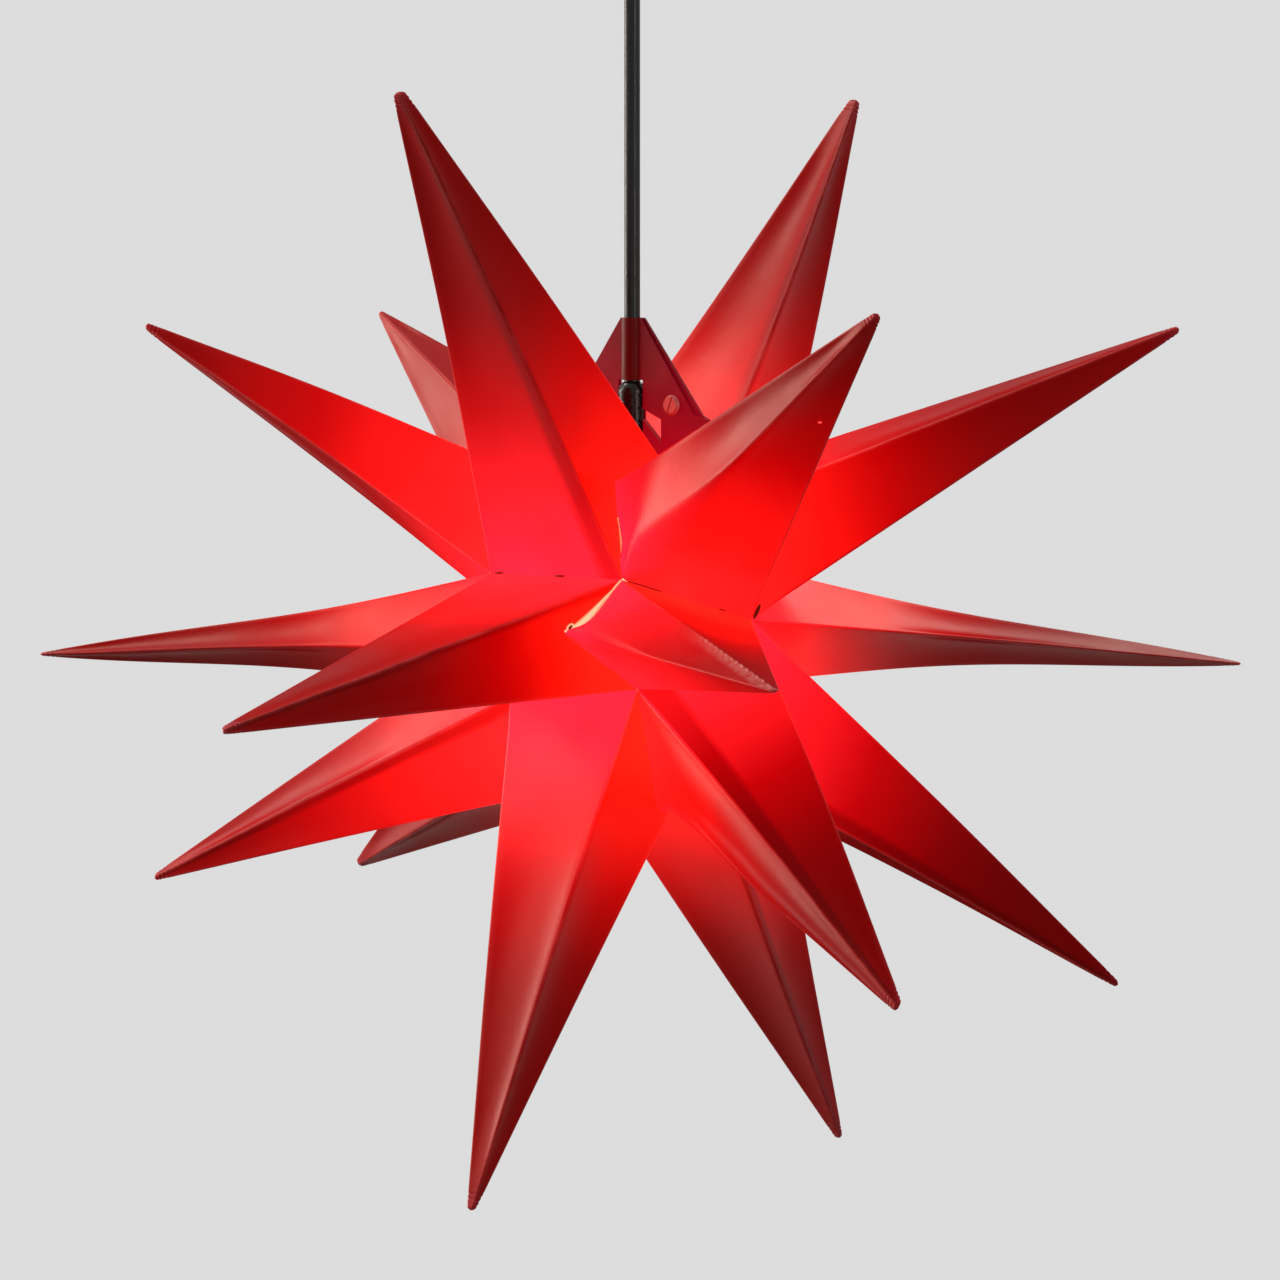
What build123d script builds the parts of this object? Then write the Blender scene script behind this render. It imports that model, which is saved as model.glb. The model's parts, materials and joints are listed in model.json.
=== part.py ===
from build123d import *
import os
from math import cos, radians, sin

# Star: six middle spikes stand round a level axis along X, with six side spikes at each end of it.
# Angles round that axis start along +Y and grow towards +Z.
tip_radius = 275.0  # axis to the tip of a middle spike
side_radius = 159.0  # axis to the tip of a side spike
side_reach = 215.5  # star's middle to the tip of a side spike, along the axis
core_radius = 53.0  # axis to each seam between two middle spikes
seam_half = 38.5  # half the length of such a seam
pole_reach = 67.0  # star's middle to the point where six side spikes meet
corner_share = 0.16  # place of a side spike's outer corner, up the wall of its middle spike
spikes_round = 6

# Folded sheet of each spike
wall = 0.8
tip_width = 4.5
tip_plug = 14.0  # welded solid end of the spike
tip_round = 0.7
ridge_round = 1.6
flap_width = 7.0  # glued overlap inside one ridge, at the root
flap_end_width = 1.8  # the same at the tip
root_overrun = 4.0

# Seam flanges inside the star, and the snap studs that join them
flange_depth = 8.0
flange_stop_share = 0.8
stud_radius = 1.5
stud_head_radius = 2.6
stud_head_height = 1.1
stud_drop = 4.5
stud_play = 0.05

# Hanger: two plates in the top seam, closed round the cable
plate = 1.2
plate_play = 0.05
plate_foot_half = 36.5
plate_shoulder_half = 43.5
plate_shoulder_height = 96.5
plate_shoulder_drop = 1.8  # fall of the shoulder towards its outer end
plate_shoulder_edge = 4.0
plate_slope_half = 36.0
plate_peak_half = 5.6
plate_peak_height = 138.5
plate_lap = 3.8  # how far the rear plate stands out past the front one, on one side
window_half = 17.4
window_height = 94.0  # upper outer corner of the slanted window beside the strain relief
window_rise = 4.5  # from that corner up to the relief's slot
window_side = 10.2  # upright outer edge
window_slant = 10.0  # from the lower outer corner up to the relief's slot
rivet_radius = 2.4
rivet_head_radius = 4.5
rivet_head_height = 1.6
rivet_head_taper = 32  # degrees
rivet_slot = 0.7
rivet_slot_turn = 70  # degrees
rivet_slot_depth = 0.8
rivet_rise = 4.0  # over the plates' shoulders
rivet_edge = 9.6  # in from their sloping edge

# Cable and the ribbed strain relief that carries the hanger
cable_radius = 3.5
cable_play = 0.1
channel_wall = 1.1
relief_radius = 6.2
relief_top = 111.0
relief_rest = 0.1
relief_dome = 5.2
relief_groove = 0.9  # width and depth of the slots that make it bend
relief_first_slot = 3.4  # under the dome's top
relief_pitch = 2.8
relief_slots = 6
relief_slot_turn = 70  # degrees of the circle that each slot leaves standing, on two sides
relief_neck_radius = 5.0
relief_neck_height = 66.0
relief_socket = 6.0
neck_play = 0.9
neck_passage = 16.0  # of the passage for the neck, under the core's seam

# Lamp holder, hanging inside the star from the strain relief
lamp_gap = 1.5  # under the top seam's flanges
holder_radius = 14.5
holder_top_radius = 9.0
holder_cap_height = 10.5
holder_cap_curve = 16.8  # radius of its dome
holder_cap_taper = 16  # degrees, of its hollow
holder_length = 28.0
holder_wall = 2.0
holder_grips = 12
holder_grip_radius = 0.9
sleeve_wall = 0.6
sleeve_play = 0.05
tongue_radius = 2.6
tongue_foot_radius = 5.2
seal_height = 1.6
seal_radius = 11.5

# Lamp, screwed up into the holder
thread_radius = 6.9
thread_length = 20.0
thread_depth = 0.45
thread_pitch = 2.8
thread_turns = 5
lamp_play = 0.1
insulator_height = 2.2
insulator_taper = 32  # degrees
pip_radius = 2.4
pip_height = 1.6
pip_rounding = 0.8
bulb_neck_radius = 9.0
bulb_neck_height = 3.0
bulb_height = 18.0
bulb_radius = 20.0
bulb_rim_height = 2.0
bulb_flare = 27.0  # radius of the housing's hollow flare
globe_radius = 20.5
globe_wall = 1.0
board_radius = 16.0
board_height = 1.2
chip_size = 3.2
chip_height = 0.8
chip_ring_radius = 10.5
chips = 8

# Suspension grip at the upper end of the cable
star_drop = 335.0  # eye's middle to the star's middle
eye_radius = 6.0
eye_wall = 5.0
eye_width = 8.0
eye_rounding = 1.5
grip_rounding = 0.75
grip_radius = 9.5
grip_length = 24.0
grip_roof = 2.0  # under the eye's bore
spigot_radius = 7.6
spigot_length = 8.0
grip_socket = 18.0
nut_radius = 11.5
nut_length = 15.0
nut_floor = 2.0
nut_flutes = 16
nut_flute_radius = 0.9
nut_chamfer = 1.2
seal_sleeve_radius = 5.6
grip_play = 0.1

# How far each tip stands out of true: along X, round the axis, and in length, in shares of its length
middle_lean_shares = {
    0: (0.0, -0.1, 0.0),
    1: (0.06, -0.03, 0.01),
    2: (-0.025, 0.035, 0.0),
    3: (0.075, 0.085, -0.015),
    4: (0.075, 0.035, -0.025),
    5: (0.075, -0.045, 0.025),
}
front_lean_shares = {
    0: (0.005, -0.065, 0.005),
    1: (0.005, -0.065, 0.05),
    2: (-0.08, 0.045, -0.01),
    3: (-0.045, -0.005, 0.0),
    4: (-0.01, -0.045, -0.015),
    5: (-0.03, -0.045, -0.01),
}
rear_lean_shares = {
    0: (0.0, 0.0, 0.0),
    1: (-0.03, 0.03, 0.005),
    2: (-0.01, 0.04, 0.01),
    3: (0.0, 0.06, -0.01),
    4: (-0.065, -0.04, -0.005),
    5: (-0.08, -0.065, 0.01),
}

step = 360 / spikes_round
centre = Vector(0, 0, -star_drop)
hanger_angle = 90
seam_angles = [step * (k + 0.5) for k in range(spikes_round)]

os.makedirs("parts", exist_ok=True)


def save(piece, label):
    """Name a finished piece and write it to its own file"""
    piece.label = label
    export_step(piece, f"parts/{label}.step")


def star_point(angle, radius, along):
    """Point at an angle round the star's axis, a radius off it and a distance along it"""
    turn = radians(angle)
    return centre + Vector(along, radius * cos(turn), radius * sin(turn))


def level_plane(height):
    """Level plane at a height over the star's middle"""
    return Plane(origin=centre + Vector(0, 0, height))


def seam_plane(angle):
    """Plane through the star's axis at a seam: X along the axis, Y away from it"""
    turn = radians(angle)
    return Plane(origin=centre, x_dir=(1, 0, 0), z_dir=(0, -sin(turn), cos(turn)))


def middle(points):
    """Mean of some points"""
    return sum(points, Vector()) * (1 / len(points))


def leaned(tip, root, angle, shares):
    """Tip moved sideways and lengthened by its lean shares"""
    turn = radians(angle)
    reach = tip - root
    round_axis = Vector(0, -sin(turn), cos(turn))
    across = round_axis.cross(reach.normalized())
    across = across if across.X >= 0 else across * -1
    sideways, round_share, longer = shares
    lean = across * sideways + round_axis * round_share + reach.normalized() * longer
    return tip + lean * reach.length


def sheer_apex(tip, root, root_width):
    """Point beyond the blunt tip where the spike's ridge lines would meet"""
    return root + (tip - root) * (1 / (1 - tip_width / root_width))


def ridge_hits(plane, apex, corners):
    """Places in a plane where the ridge lines from the apex to the root's corners cross it"""
    hits = []
    for corner in corners:
        ridge = corner - apex
        share = (plane.origin - apex).dot(plane.z_dir) / ridge.dot(plane.z_dir)
        local = plane.to_local_coords(apex + ridge * share)
        hits.append((local.X, local.Y))
    return hits


def inner_section(plane, hits, flap):
    """Hollow's outline in a plane: the wall set in, less the glued flap along the first side"""
    start, end = Vector(*hits[0]), Vector(*hits[1])
    along = (end - start).normalized()
    inward = Vector(-along.Y, along.X)
    inward = inward if inward.dot(middle([Vector(*hit) for hit in hits]) - start) > 0 else inward * -1
    far = start + along * flap
    near = start - along * flap
    with BuildSketch(plane) as section:
        with BuildLine():
            Polyline(*hits, close=True)
        make_face()
        offset(amount=-wall, kind=Kind.INTERSECTION)
        with BuildLine():
            Polyline(near, far, far + inward * wall * 2, near + inward * wall * 2, close=True)
        make_face(mode=Mode.SUBTRACT)
    return section.sketch


def outer_section(plane, hits, rounding):
    """Spike's outline in a plane, with its ridges rounded"""
    with BuildSketch(plane) as section:
        with BuildLine():
            Polyline(*hits, close=True)
        make_face()
        fillet(section.vertices(), radius=rounding)
    return section.sketch


def fold_spike(corners, tip, root_width, root_planes):
    """Hollow four-sided spike of folded sheet, open at its root, which lies on the root planes"""
    root = middle(corners)
    out = (tip - root).normalized()
    apex = sheer_apex(tip, root, root_width)
    depth = max((tip - corner).dot(out) for corner in corners) + root_overrun
    tip_plane = Plane(origin=tip, x_dir=out.cross(corners[1] - corners[0]), z_dir=out)
    root_plane = tip_plane.offset(-depth)
    plug_plane = tip_plane.offset(-tip_plug)
    with BuildPart() as spike:
        add(outer_section(root_plane, ridge_hits(root_plane, apex, corners), ridge_round))
        add(outer_section(tip_plane, ridge_hits(tip_plane, apex, corners), tip_round))
        loft(ruled=True)
        root_side = inner_section(root_plane, ridge_hits(root_plane, apex, corners), flap_width)
        plug_side = inner_section(plug_plane, ridge_hits(plug_plane, apex, corners), flap_end_width)
        loft(sections=[root_side, plug_side], ruled=True, mode=Mode.SUBTRACT)
        for plane in root_planes:
            split(bisect_by=plane, keep=Keep.TOP)
    return spike.part


def add_flange(spike, angle, side, outline, stud_place, gap):
    """Spike with a flange along one seam, on its own side of the seam's plane, pierced for a stud"""
    plane = seam_plane(angle).offset(side * gap)
    with BuildPart() as flanged:
        add(spike)
        with BuildSketch(plane):
            with BuildLine():
                Polyline(*outline, close=True)
            make_face()
            with Locations(stud_place):
                Circle(stud_radius + stud_play, mode=Mode.SUBTRACT)
        extrude(amount=side * wall)
    return flanged.part


def middle_corners(k):
    """Root corners of a middle spike, in order round it"""
    before, after = step * (k - 0.5), step * (k + 0.5)
    places = [(before, 1), (after, 1), (after, -1), (before, -1)]
    return [star_point(angle, core_radius, end * seam_half) for angle, end in places]


def middle_tip(k):
    """Tip of a middle spike, with its lean"""
    true_tip = star_point(step * k, tip_radius, 0)
    return leaned(true_tip, middle(middle_corners(k)), step * k, middle_lean_shares[k])


def middle_seam_outline():
    """Flange of a middle spike, in the seam's plane"""
    low = core_radius - flange_depth
    half = seam_half - wall
    return [(-half, low), (half, low), (half, core_radius), (-half, core_radius)]


def slope_inward(end):
    """Direction in a seam's plane, square to the side seam's line and into the star"""
    along = Vector(end * (pole_reach - seam_half), -core_radius).normalized()
    return Vector(end * along.Y, -end * along.X)


def side_seam_outline(end):
    """Flange of a side spike, in the seam's plane, stopping short of the pole"""
    corner = Vector(end * seam_half, core_radius)
    line = Vector(end * (pole_reach - seam_half), -core_radius)
    stop = corner + line * flange_stop_share
    inner_stop = stop + slope_inward(end) * flange_depth
    drop = flange_depth * line.length / (pole_reach - seam_half)
    return [
        (corner.X, corner.Y),
        (stop.X, stop.Y),
        (inner_stop.X, inner_stop.Y),
        (corner.X, corner.Y - drop),
    ]


def side_stud_place(end):
    """Stud of a side seam, in the seam's plane"""
    line_middle = Vector(end * (seam_half + pole_reach) / 2, core_radius / 2)
    place = line_middle + slope_inward(end) * stud_drop
    return (place.X, place.Y)


def hanger_gap(angle):
    """Room that the hanger's plates take on each side of a seam"""
    return plate + plate_play if abs(angle - hanger_angle) < step / 2 else 0


def make_middle_spike(k):
    """Middle spike: four walls on a rectangular root, with a flange along each seam"""
    corners = middle_corners(k)
    tip = middle_tip(k)
    flat = Plane(origin=corners[0], x_dir=(1, 0, 0), z_dir=star_point(step * k, 1, 0) - centre)
    spike = fold_spike(corners, tip, core_radius, [flat])
    for angle, side in ((step * (k - 0.5), 1), (step * (k + 0.5), -1)):
        gap = hanger_gap(angle)
        stud_place = (0, core_radius - stud_drop)
        if gap > 0:
            stud_place = (-plate_foot_half + flange_depth, core_radius - stud_drop)
        spike = add_flange(spike, angle, side, middle_seam_outline(), stud_place, gap)
        if gap > 0:
            spike = clear_hanger(spike, angle, side, gap)
    save(spike, f"middle_spike_{round(step * k):03d}")


def clear_hanger(spike, angle, side, gap):
    """Middle spike beside the hanger: set back from its plates, pierced for rivets and the lamp's neck"""
    face = seam_plane(angle).offset(side * gap)
    keep_side = face if side > 0 else Plane(origin=face.origin, x_dir=face.x_dir, z_dir=face.z_dir * -1)
    with BuildPart() as cleared:
        add(spike)
        split(bisect_by=keep_side, keep=Keep.TOP)
        with BuildSketch(level_plane(core_radius - neck_passage)):
            Circle(relief_radius + neck_play)
        extrude(amount=neck_passage * 2, mode=Mode.SUBTRACT)
        with BuildSketch(seam_plane(angle)):
            with Locations((plate_foot_half - flange_depth, core_radius - stud_drop)):
                Circle(stud_radius + stud_play)
        extrude(amount=side * (gap + wall * 2), mode=Mode.SUBTRACT)
    return cleared.part


def make_side_spike(k, end, name, lean_shares):
    """Side spike: four walls whose root folds over the core's slope and its middle spike's wall"""
    pole = centre + Vector(end * pole_reach, 0, 0)
    before = star_point(step * (k - 0.5), core_radius, end * seam_half)
    after = star_point(step * (k + 0.5), core_radius, end * seam_half)
    middle_apex = sheer_apex(middle_tip(k), middle(middle_corners(k)), core_radius)
    outer = middle([before, after]) * (1 - corner_share) + middle_apex * corner_share
    corners = [pole, before, outer, after]
    true_tip = star_point(step * k, side_radius, end * side_reach)
    tip = leaned(true_tip, middle(corners), step * k, lean_shares[k])
    slope_out = (before - pole).cross(after - pole)
    wall_out = (before - outer).cross(after - outer)
    out = tip - middle(corners)
    slope_out = slope_out if slope_out.dot(out) > 0 else slope_out * -1
    wall_out = wall_out if wall_out.dot(out) > 0 else wall_out * -1
    root_planes = [Plane(origin=pole, z_dir=slope_out), Plane(origin=outer, z_dir=wall_out)]
    spike = fold_spike(corners, tip, core_radius, root_planes)
    for angle, side in ((step * (k - 0.5), 1), (step * (k + 0.5), -1)):
        spike = add_flange(spike, angle, side, side_seam_outline(end), side_stud_place(end), 0)
    save(spike, f"{name}_spike_{round(step * k):03d}")


def snap(plane, place, stack, shank_radius, head_radius, head_height, taper=0):
    """Snap stud square to a plane: a shank through half a stack on each side of it, and two heads"""
    with BuildPart() as stud:
        with BuildSketch(plane):
            with Locations(place):
                Circle(shank_radius)
        extrude(amount=stack, both=True)
        for side in (1, -1):
            with BuildSketch(plane.offset(side * stack)):
                with Locations(place):
                    Circle(head_radius)
            extrude(amount=side * head_height, taper=taper)
    return stud.part


def make_seam_studs():
    """All snap studs of the star: one in each seam but the hanger's, and one in each side seam"""
    sizes = (wall, stud_radius, stud_head_radius, stud_head_height)
    studs = []
    for angle in seam_angles:
        plane = seam_plane(angle)
        if hanger_gap(angle) == 0:
            studs.append(snap(plane, (0, core_radius - stud_drop), *sizes))
        for end in (1, -1):
            studs.append(snap(plane, side_stud_place(end), *sizes))
    save(Compound(children=studs), "seam_studs")


# Run of the plates' sloping edges, for each unit that they fall
plate_slope_share = (plate_slope_half - plate_peak_half) / (plate_peak_height - plate_shoulder_height)
rivet_height = plate_shoulder_height + rivet_rise
rivet_spread = plate_slope_half - rivet_rise * plate_slope_share - rivet_edge


def plate_outline(lap):
    """Hanger plate's outline over the star's middle, with a lap past the other plate on its right"""
    shoulder_low = plate_shoulder_height - plate_shoulder_drop
    return [
        (-plate_foot_half, core_radius - flange_depth),
        (plate_foot_half, core_radius - flange_depth),
        (plate_foot_half, core_radius),
        (plate_shoulder_half, shoulder_low - plate_shoulder_edge),
        (plate_shoulder_half, shoulder_low),
        (plate_slope_half + lap, plate_shoulder_height),
        (plate_peak_half + plate_play + lap * (1 - plate_slope_share), plate_peak_height),
        (-plate_peak_half, plate_peak_height),
        (-plate_slope_half, plate_shoulder_height),
        (-plate_shoulder_half, shoulder_low),
        (-plate_shoulder_half, shoulder_low - plate_shoulder_edge),
        (-plate_foot_half, core_radius),
    ]


def window_outline():
    """Slanted windows beside the strain relief, joined by its upright slot"""
    slot_half = relief_radius + neck_play
    low = window_height - window_side
    right = [
        (slot_half, window_height + window_rise),
        (window_half, window_height),
        (window_half, low),
        (slot_half, low + window_slant),
        (slot_half, core_radius - neck_passage),
    ]
    return right + [(-x, height) for x, height in reversed(right)]


def make_hanger_plate(side, lap, label):
    """Hanger plate on one side of the top seam, with its half of the cable's channel"""
    upright = Plane(origin=centre, x_dir=(1, 0, 0), z_dir=(0, side, 0))
    mirror_height = side * -1
    outline = [(x, height * mirror_height) for x, height in plate_outline(lap)]
    channel_low = relief_top + relief_rest
    with BuildPart() as hanger:
        with BuildSketch(upright):
            with BuildLine():
                Polyline(*outline, close=True)
            make_face()
        extrude(amount=plate)
        with BuildSketch(level_plane(channel_low)):
            Circle(cable_radius + cable_play + channel_wall)
        extrude(amount=plate_peak_height - channel_low)
        split(bisect_by=upright, keep=Keep.TOP)
        with BuildSketch(level_plane(core_radius)):
            Circle(cable_radius + cable_play)
        extrude(amount=plate_peak_height, mode=Mode.SUBTRACT)
        with BuildSketch(upright):
            with BuildLine():
                Polyline(*[(x, height * mirror_height) for x, height in window_outline()], close=True)
            make_face()
        extrude(amount=plate, mode=Mode.SUBTRACT)
        with BuildSketch(level_plane(window_height)):
            Circle(relief_radius + neck_play)
        extrude(amount=channel_low - window_height, mode=Mode.SUBTRACT)
        with BuildSketch(upright):
            with Locations(*[(x, rivet_height * mirror_height) for x in (rivet_spread, -rivet_spread)]):
                Circle(rivet_radius + stud_play)
            flange_height = (core_radius - stud_drop) * mirror_height
            with Locations(*[(end * (plate_foot_half - flange_depth), flange_height) for end in (1, -1)]):
                Circle(stud_radius + stud_play)
        extrude(amount=plate, mode=Mode.SUBTRACT)
    save(hanger.part, label)


def make_hanger_rivets():
    """Two snap rivets that close the plates over the cable, and two studs through their feet"""
    upright = Plane(origin=centre, x_dir=(1, 0, 0), z_dir=(0, -1, 0))
    rivet_sizes = (plate, rivet_radius, rivet_head_radius, rivet_head_height, rivet_head_taper)
    foot_sizes = (plate + plate_play + wall, stud_radius, stud_head_radius, stud_head_height)
    rivets = []
    for end in (1, -1):
        place = (end * rivet_spread, rivet_height)
        with BuildPart() as rivet:
            add(snap(upright, place, *rivet_sizes))
            with BuildSketch(upright.offset(plate + rivet_head_height)):
                with Locations(place):
                    Rectangle(rivet_head_radius * 2, rivet_slot, rotation=rivet_slot_turn)
            extrude(amount=-rivet_slot_depth, mode=Mode.SUBTRACT)
        rivets.append(rivet.part)
        foot_place = (end * (plate_foot_half - flange_depth), core_radius - stud_drop)
        rivets.append(snap(upright, foot_place, *foot_sizes))
    save(Compound(children=rivets), "hanger_rivets")


# Heights over the star's middle, worked out down the lamp and up to the grip
holder_top = core_radius - flange_depth - lamp_gap
holder_shoulder = holder_top - holder_cap_height
holder_mouth = holder_shoulder - holder_length
bulb_top = holder_mouth - seal_height - lamp_play
bulb_rim = bulb_top - bulb_height
pip_top = bulb_top + thread_length + insulator_height + pip_height
grip_top = star_drop - eye_radius - grip_roof
grip_base = grip_top - grip_length
spigot_base = grip_base - spigot_length
nut_base = grip_base - nut_length
cable_base = relief_top - relief_socket
cable_top = spigot_base + grip_socket

section_plane = Plane(origin=centre, x_dir=(1, 0, 0), z_dir=(0, -1, 0))
post = Axis(centre, (0, 0, 1))


def make_cable():
    """Round cable, pulled straight by the star's weight"""
    with BuildPart() as cable:
        with BuildSketch(level_plane(cable_base)):
            Circle(cable_radius)
        extrude(amount=cable_top - cable_base)
    print(f"cable: one straight run of {cable_top - cable_base:.1f} mm")
    save(cable.part, "cable")


def make_strain_relief():
    """Black sleeve moulded on the cable: a slotted dome that the hanger rests on, and a neck"""
    dome_start = (relief_radius, relief_top - relief_dome)
    dome_end = (relief_radius - relief_dome, relief_top)
    bridge_width = relief_radius * 2 * sin(radians(relief_slot_turn / 2))
    with BuildPart() as relief:
        with BuildSketch(section_plane):
            with BuildLine():
                Polyline(
                    (0, holder_top),
                    (relief_neck_radius, holder_top),
                    (relief_neck_radius, relief_neck_height),
                    (relief_radius, relief_neck_height + relief_radius),
                    dome_start,
                )
                RadiusArc(dome_start, dome_end, -relief_dome)
                Polyline(dome_end, (0, relief_top), (0, holder_top))
            make_face()
        revolve(axis=post)
        with BuildSketch(level_plane(cable_base)):
            Circle(cable_radius)
        extrude(amount=relief_socket, mode=Mode.SUBTRACT)
        for slot in range(relief_slots):
            height = relief_top - relief_first_slot - relief_pitch * slot
            bridge_turn = 90 * (slot % 2)
            with BuildSketch(level_plane(height)):
                Circle(relief_radius + relief_groove)
                Circle(relief_radius - relief_groove, mode=Mode.SUBTRACT)
                Rectangle(relief_radius * 4, bridge_width, rotation=bridge_turn, mode=Mode.SUBTRACT)
            extrude(amount=-relief_groove, mode=Mode.SUBTRACT)
    save(relief.part, "strain_relief")


def make_holder_cap():
    """Upper half of the lamp holder, a hollow dome under the strain relief"""
    cap_edge = (holder_radius, holder_shoulder)
    with BuildPart() as cap:
        with BuildSketch(section_plane):
            with BuildLine():
                Polyline((0, holder_top), (holder_top_radius, holder_top))
                RadiusArc((holder_top_radius, holder_top), cap_edge, holder_cap_curve)
                Polyline(cap_edge, (0, holder_shoulder), (0, holder_top))
            make_face()
        revolve(axis=post)
        with BuildSketch(level_plane(holder_shoulder)):
            Circle(holder_radius - holder_wall)
        extrude(amount=holder_cap_height - holder_wall * 2, taper=holder_cap_taper, mode=Mode.SUBTRACT)
    save(cap.part, "holder_cap")


def make_holder_body():
    """Lower half of the lamp holder: a gripped tube with a floor over the socket"""
    cavity = thread_radius + lamp_play + sleeve_wall + sleeve_play
    with BuildPart() as body:
        with BuildSketch(level_plane(holder_mouth)):
            Circle(holder_radius)
            with PolarLocations(holder_radius, holder_grips):
                Circle(holder_grip_radius)
        extrude(amount=holder_length)
        with BuildSketch(level_plane(holder_mouth)):
            Circle(cavity)
        extrude(amount=holder_length - holder_wall, mode=Mode.SUBTRACT)
    save(body.part, "holder_body")


def make_socket():
    """Threaded sleeve of the socket, and the centre tongue that touches the lamp's pip"""
    with BuildPart() as sleeve:
        with BuildSketch(level_plane(holder_mouth)):
            Circle(thread_radius + lamp_play + sleeve_wall)
            Circle(thread_radius + lamp_play, mode=Mode.SUBTRACT)
        extrude(amount=thread_length)
    save(sleeve.part, "socket_sleeve")
    tongue_low = pip_top + lamp_play
    tongue_high = holder_shoulder - holder_wall
    with BuildPart() as tongue:
        with BuildSketch(level_plane(tongue_high)):
            Circle(tongue_foot_radius)
        extrude(amount=-(tongue_high - tongue_low) / 2)
        with BuildSketch(level_plane(tongue_low)):
            Circle(tongue_radius)
        extrude(amount=(tongue_high - tongue_low) / 2)
    save(tongue.part, "socket_tongue")


def make_mouth_seal():
    """Rubber ring in the holder's mouth, round the lamp"""
    with BuildPart() as seal:
        with BuildSketch(level_plane(holder_mouth)):
            Circle(seal_radius)
            Circle(thread_radius + lamp_play, mode=Mode.SUBTRACT)
        extrude(amount=-seal_height)
    save(seal.part, "mouth_seal")


def make_lamp_cap():
    """Screw cap of the lamp with its ring of glass and its pip"""
    with BuildPart() as screw:
        with BuildSketch(level_plane(bulb_top)):
            Circle(thread_radius)
        extrude(amount=thread_length)
        for turn in range(thread_turns):
            height = bulb_top + thread_pitch * (turn + 1)
            with BuildSketch(section_plane):
                with Locations((thread_radius, height)):
                    RegularPolygon(thread_depth * 2, 4, rotation=45)
            revolve(axis=post, mode=Mode.SUBTRACT)
    save(screw.part, "lamp_screw_cap")
    with BuildPart() as insulator:
        with BuildSketch(level_plane(bulb_top + thread_length)):
            Circle(thread_radius - thread_depth)
        extrude(amount=insulator_height, taper=insulator_taper)
    save(insulator.part, "lamp_insulator")
    with BuildPart() as pip:
        with BuildSketch(level_plane(pip_top - pip_height)):
            Circle(pip_radius)
        extrude(amount=pip_height)
        fillet(pip.faces().sort_by(Axis.Z)[-1].edges(), radius=pip_rounding)
    save(pip.part, "lamp_pip")


def make_lamp_housing():
    """White housing of the lamp, flaring from the screw cap to the globe's rim, with the board's seat"""
    flare_top = (bulb_neck_radius, bulb_top - bulb_neck_height)
    flare_low = (bulb_radius, bulb_rim + bulb_rim_height)
    with BuildPart() as housing:
        with BuildSketch(section_plane):
            with BuildLine():
                Polyline((0, bulb_rim), (0, bulb_top), (bulb_neck_radius, bulb_top), flare_top)
                RadiusArc(flare_top, flare_low, bulb_flare)
                Polyline(flare_low, (bulb_radius, bulb_rim), (0, bulb_rim))
            make_face()
        revolve(axis=post)
        with BuildSketch(level_plane(bulb_rim)):
            Circle(board_radius + lamp_play)
        extrude(amount=board_height, mode=Mode.SUBTRACT)
    save(housing.part, "lamp_housing")


def make_light_source():
    """Round board in its seat, with a ring of light chips on its lower face"""
    with BuildPart() as board:
        with BuildSketch(level_plane(bulb_rim)):
            Circle(board_radius)
        extrude(amount=board_height)
    save(board.part, "led_board")
    with BuildPart() as lights:
        with BuildSketch(level_plane(bulb_rim)):
            with PolarLocations(chip_ring_radius, chips):
                Rectangle(chip_size, chip_size)
        extrude(amount=-chip_height)
    save(lights.part, "led_chips")


def make_globe():
    """Frosted globe, a thin shell from the housing's rim down"""
    rise = (globe_radius**2 - bulb_radius**2) ** 0.5
    with BuildPart() as globe:
        with Locations(centre + Vector(0, 0, bulb_rim - rise)):
            Sphere(globe_radius)
            Sphere(globe_radius - globe_wall, mode=Mode.SUBTRACT)
        split(bisect_by=level_plane(bulb_rim), keep=Keep.BOTTOM)
    save(globe.part, "lamp_globe")


def make_suspension_grip():
    """Moulded grip with its eye over it and a spigot under it, bored for the cable"""
    with BuildPart() as grip:
        with BuildSketch(section_plane):
            with Locations((0, star_drop)):
                Circle(eye_radius + eye_wall)
        extrude(amount=eye_width / 2, both=True)
        fillet(grip.edges().filter_by(GeomType.CIRCLE), radius=eye_rounding)
        with BuildSketch(level_plane(grip_base)):
            Circle(grip_radius)
        extrude(amount=grip_length)
        fillet(grip.faces().filter_by(Plane.XY).sort_by(Axis.Z)[0].edges(), radius=grip_rounding)
        with BuildSketch(level_plane(spigot_base)):
            Circle(spigot_radius)
        extrude(amount=spigot_length)
        with BuildSketch(section_plane):
            with Locations((0, star_drop)):
                Circle(eye_radius)
        extrude(amount=grip_radius, both=True, mode=Mode.SUBTRACT)
        with BuildSketch(level_plane(spigot_base)):
            Circle(cable_radius + grip_play)
        extrude(amount=grip_socket, mode=Mode.SUBTRACT)
    save(grip.part, "suspension_grip")


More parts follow.
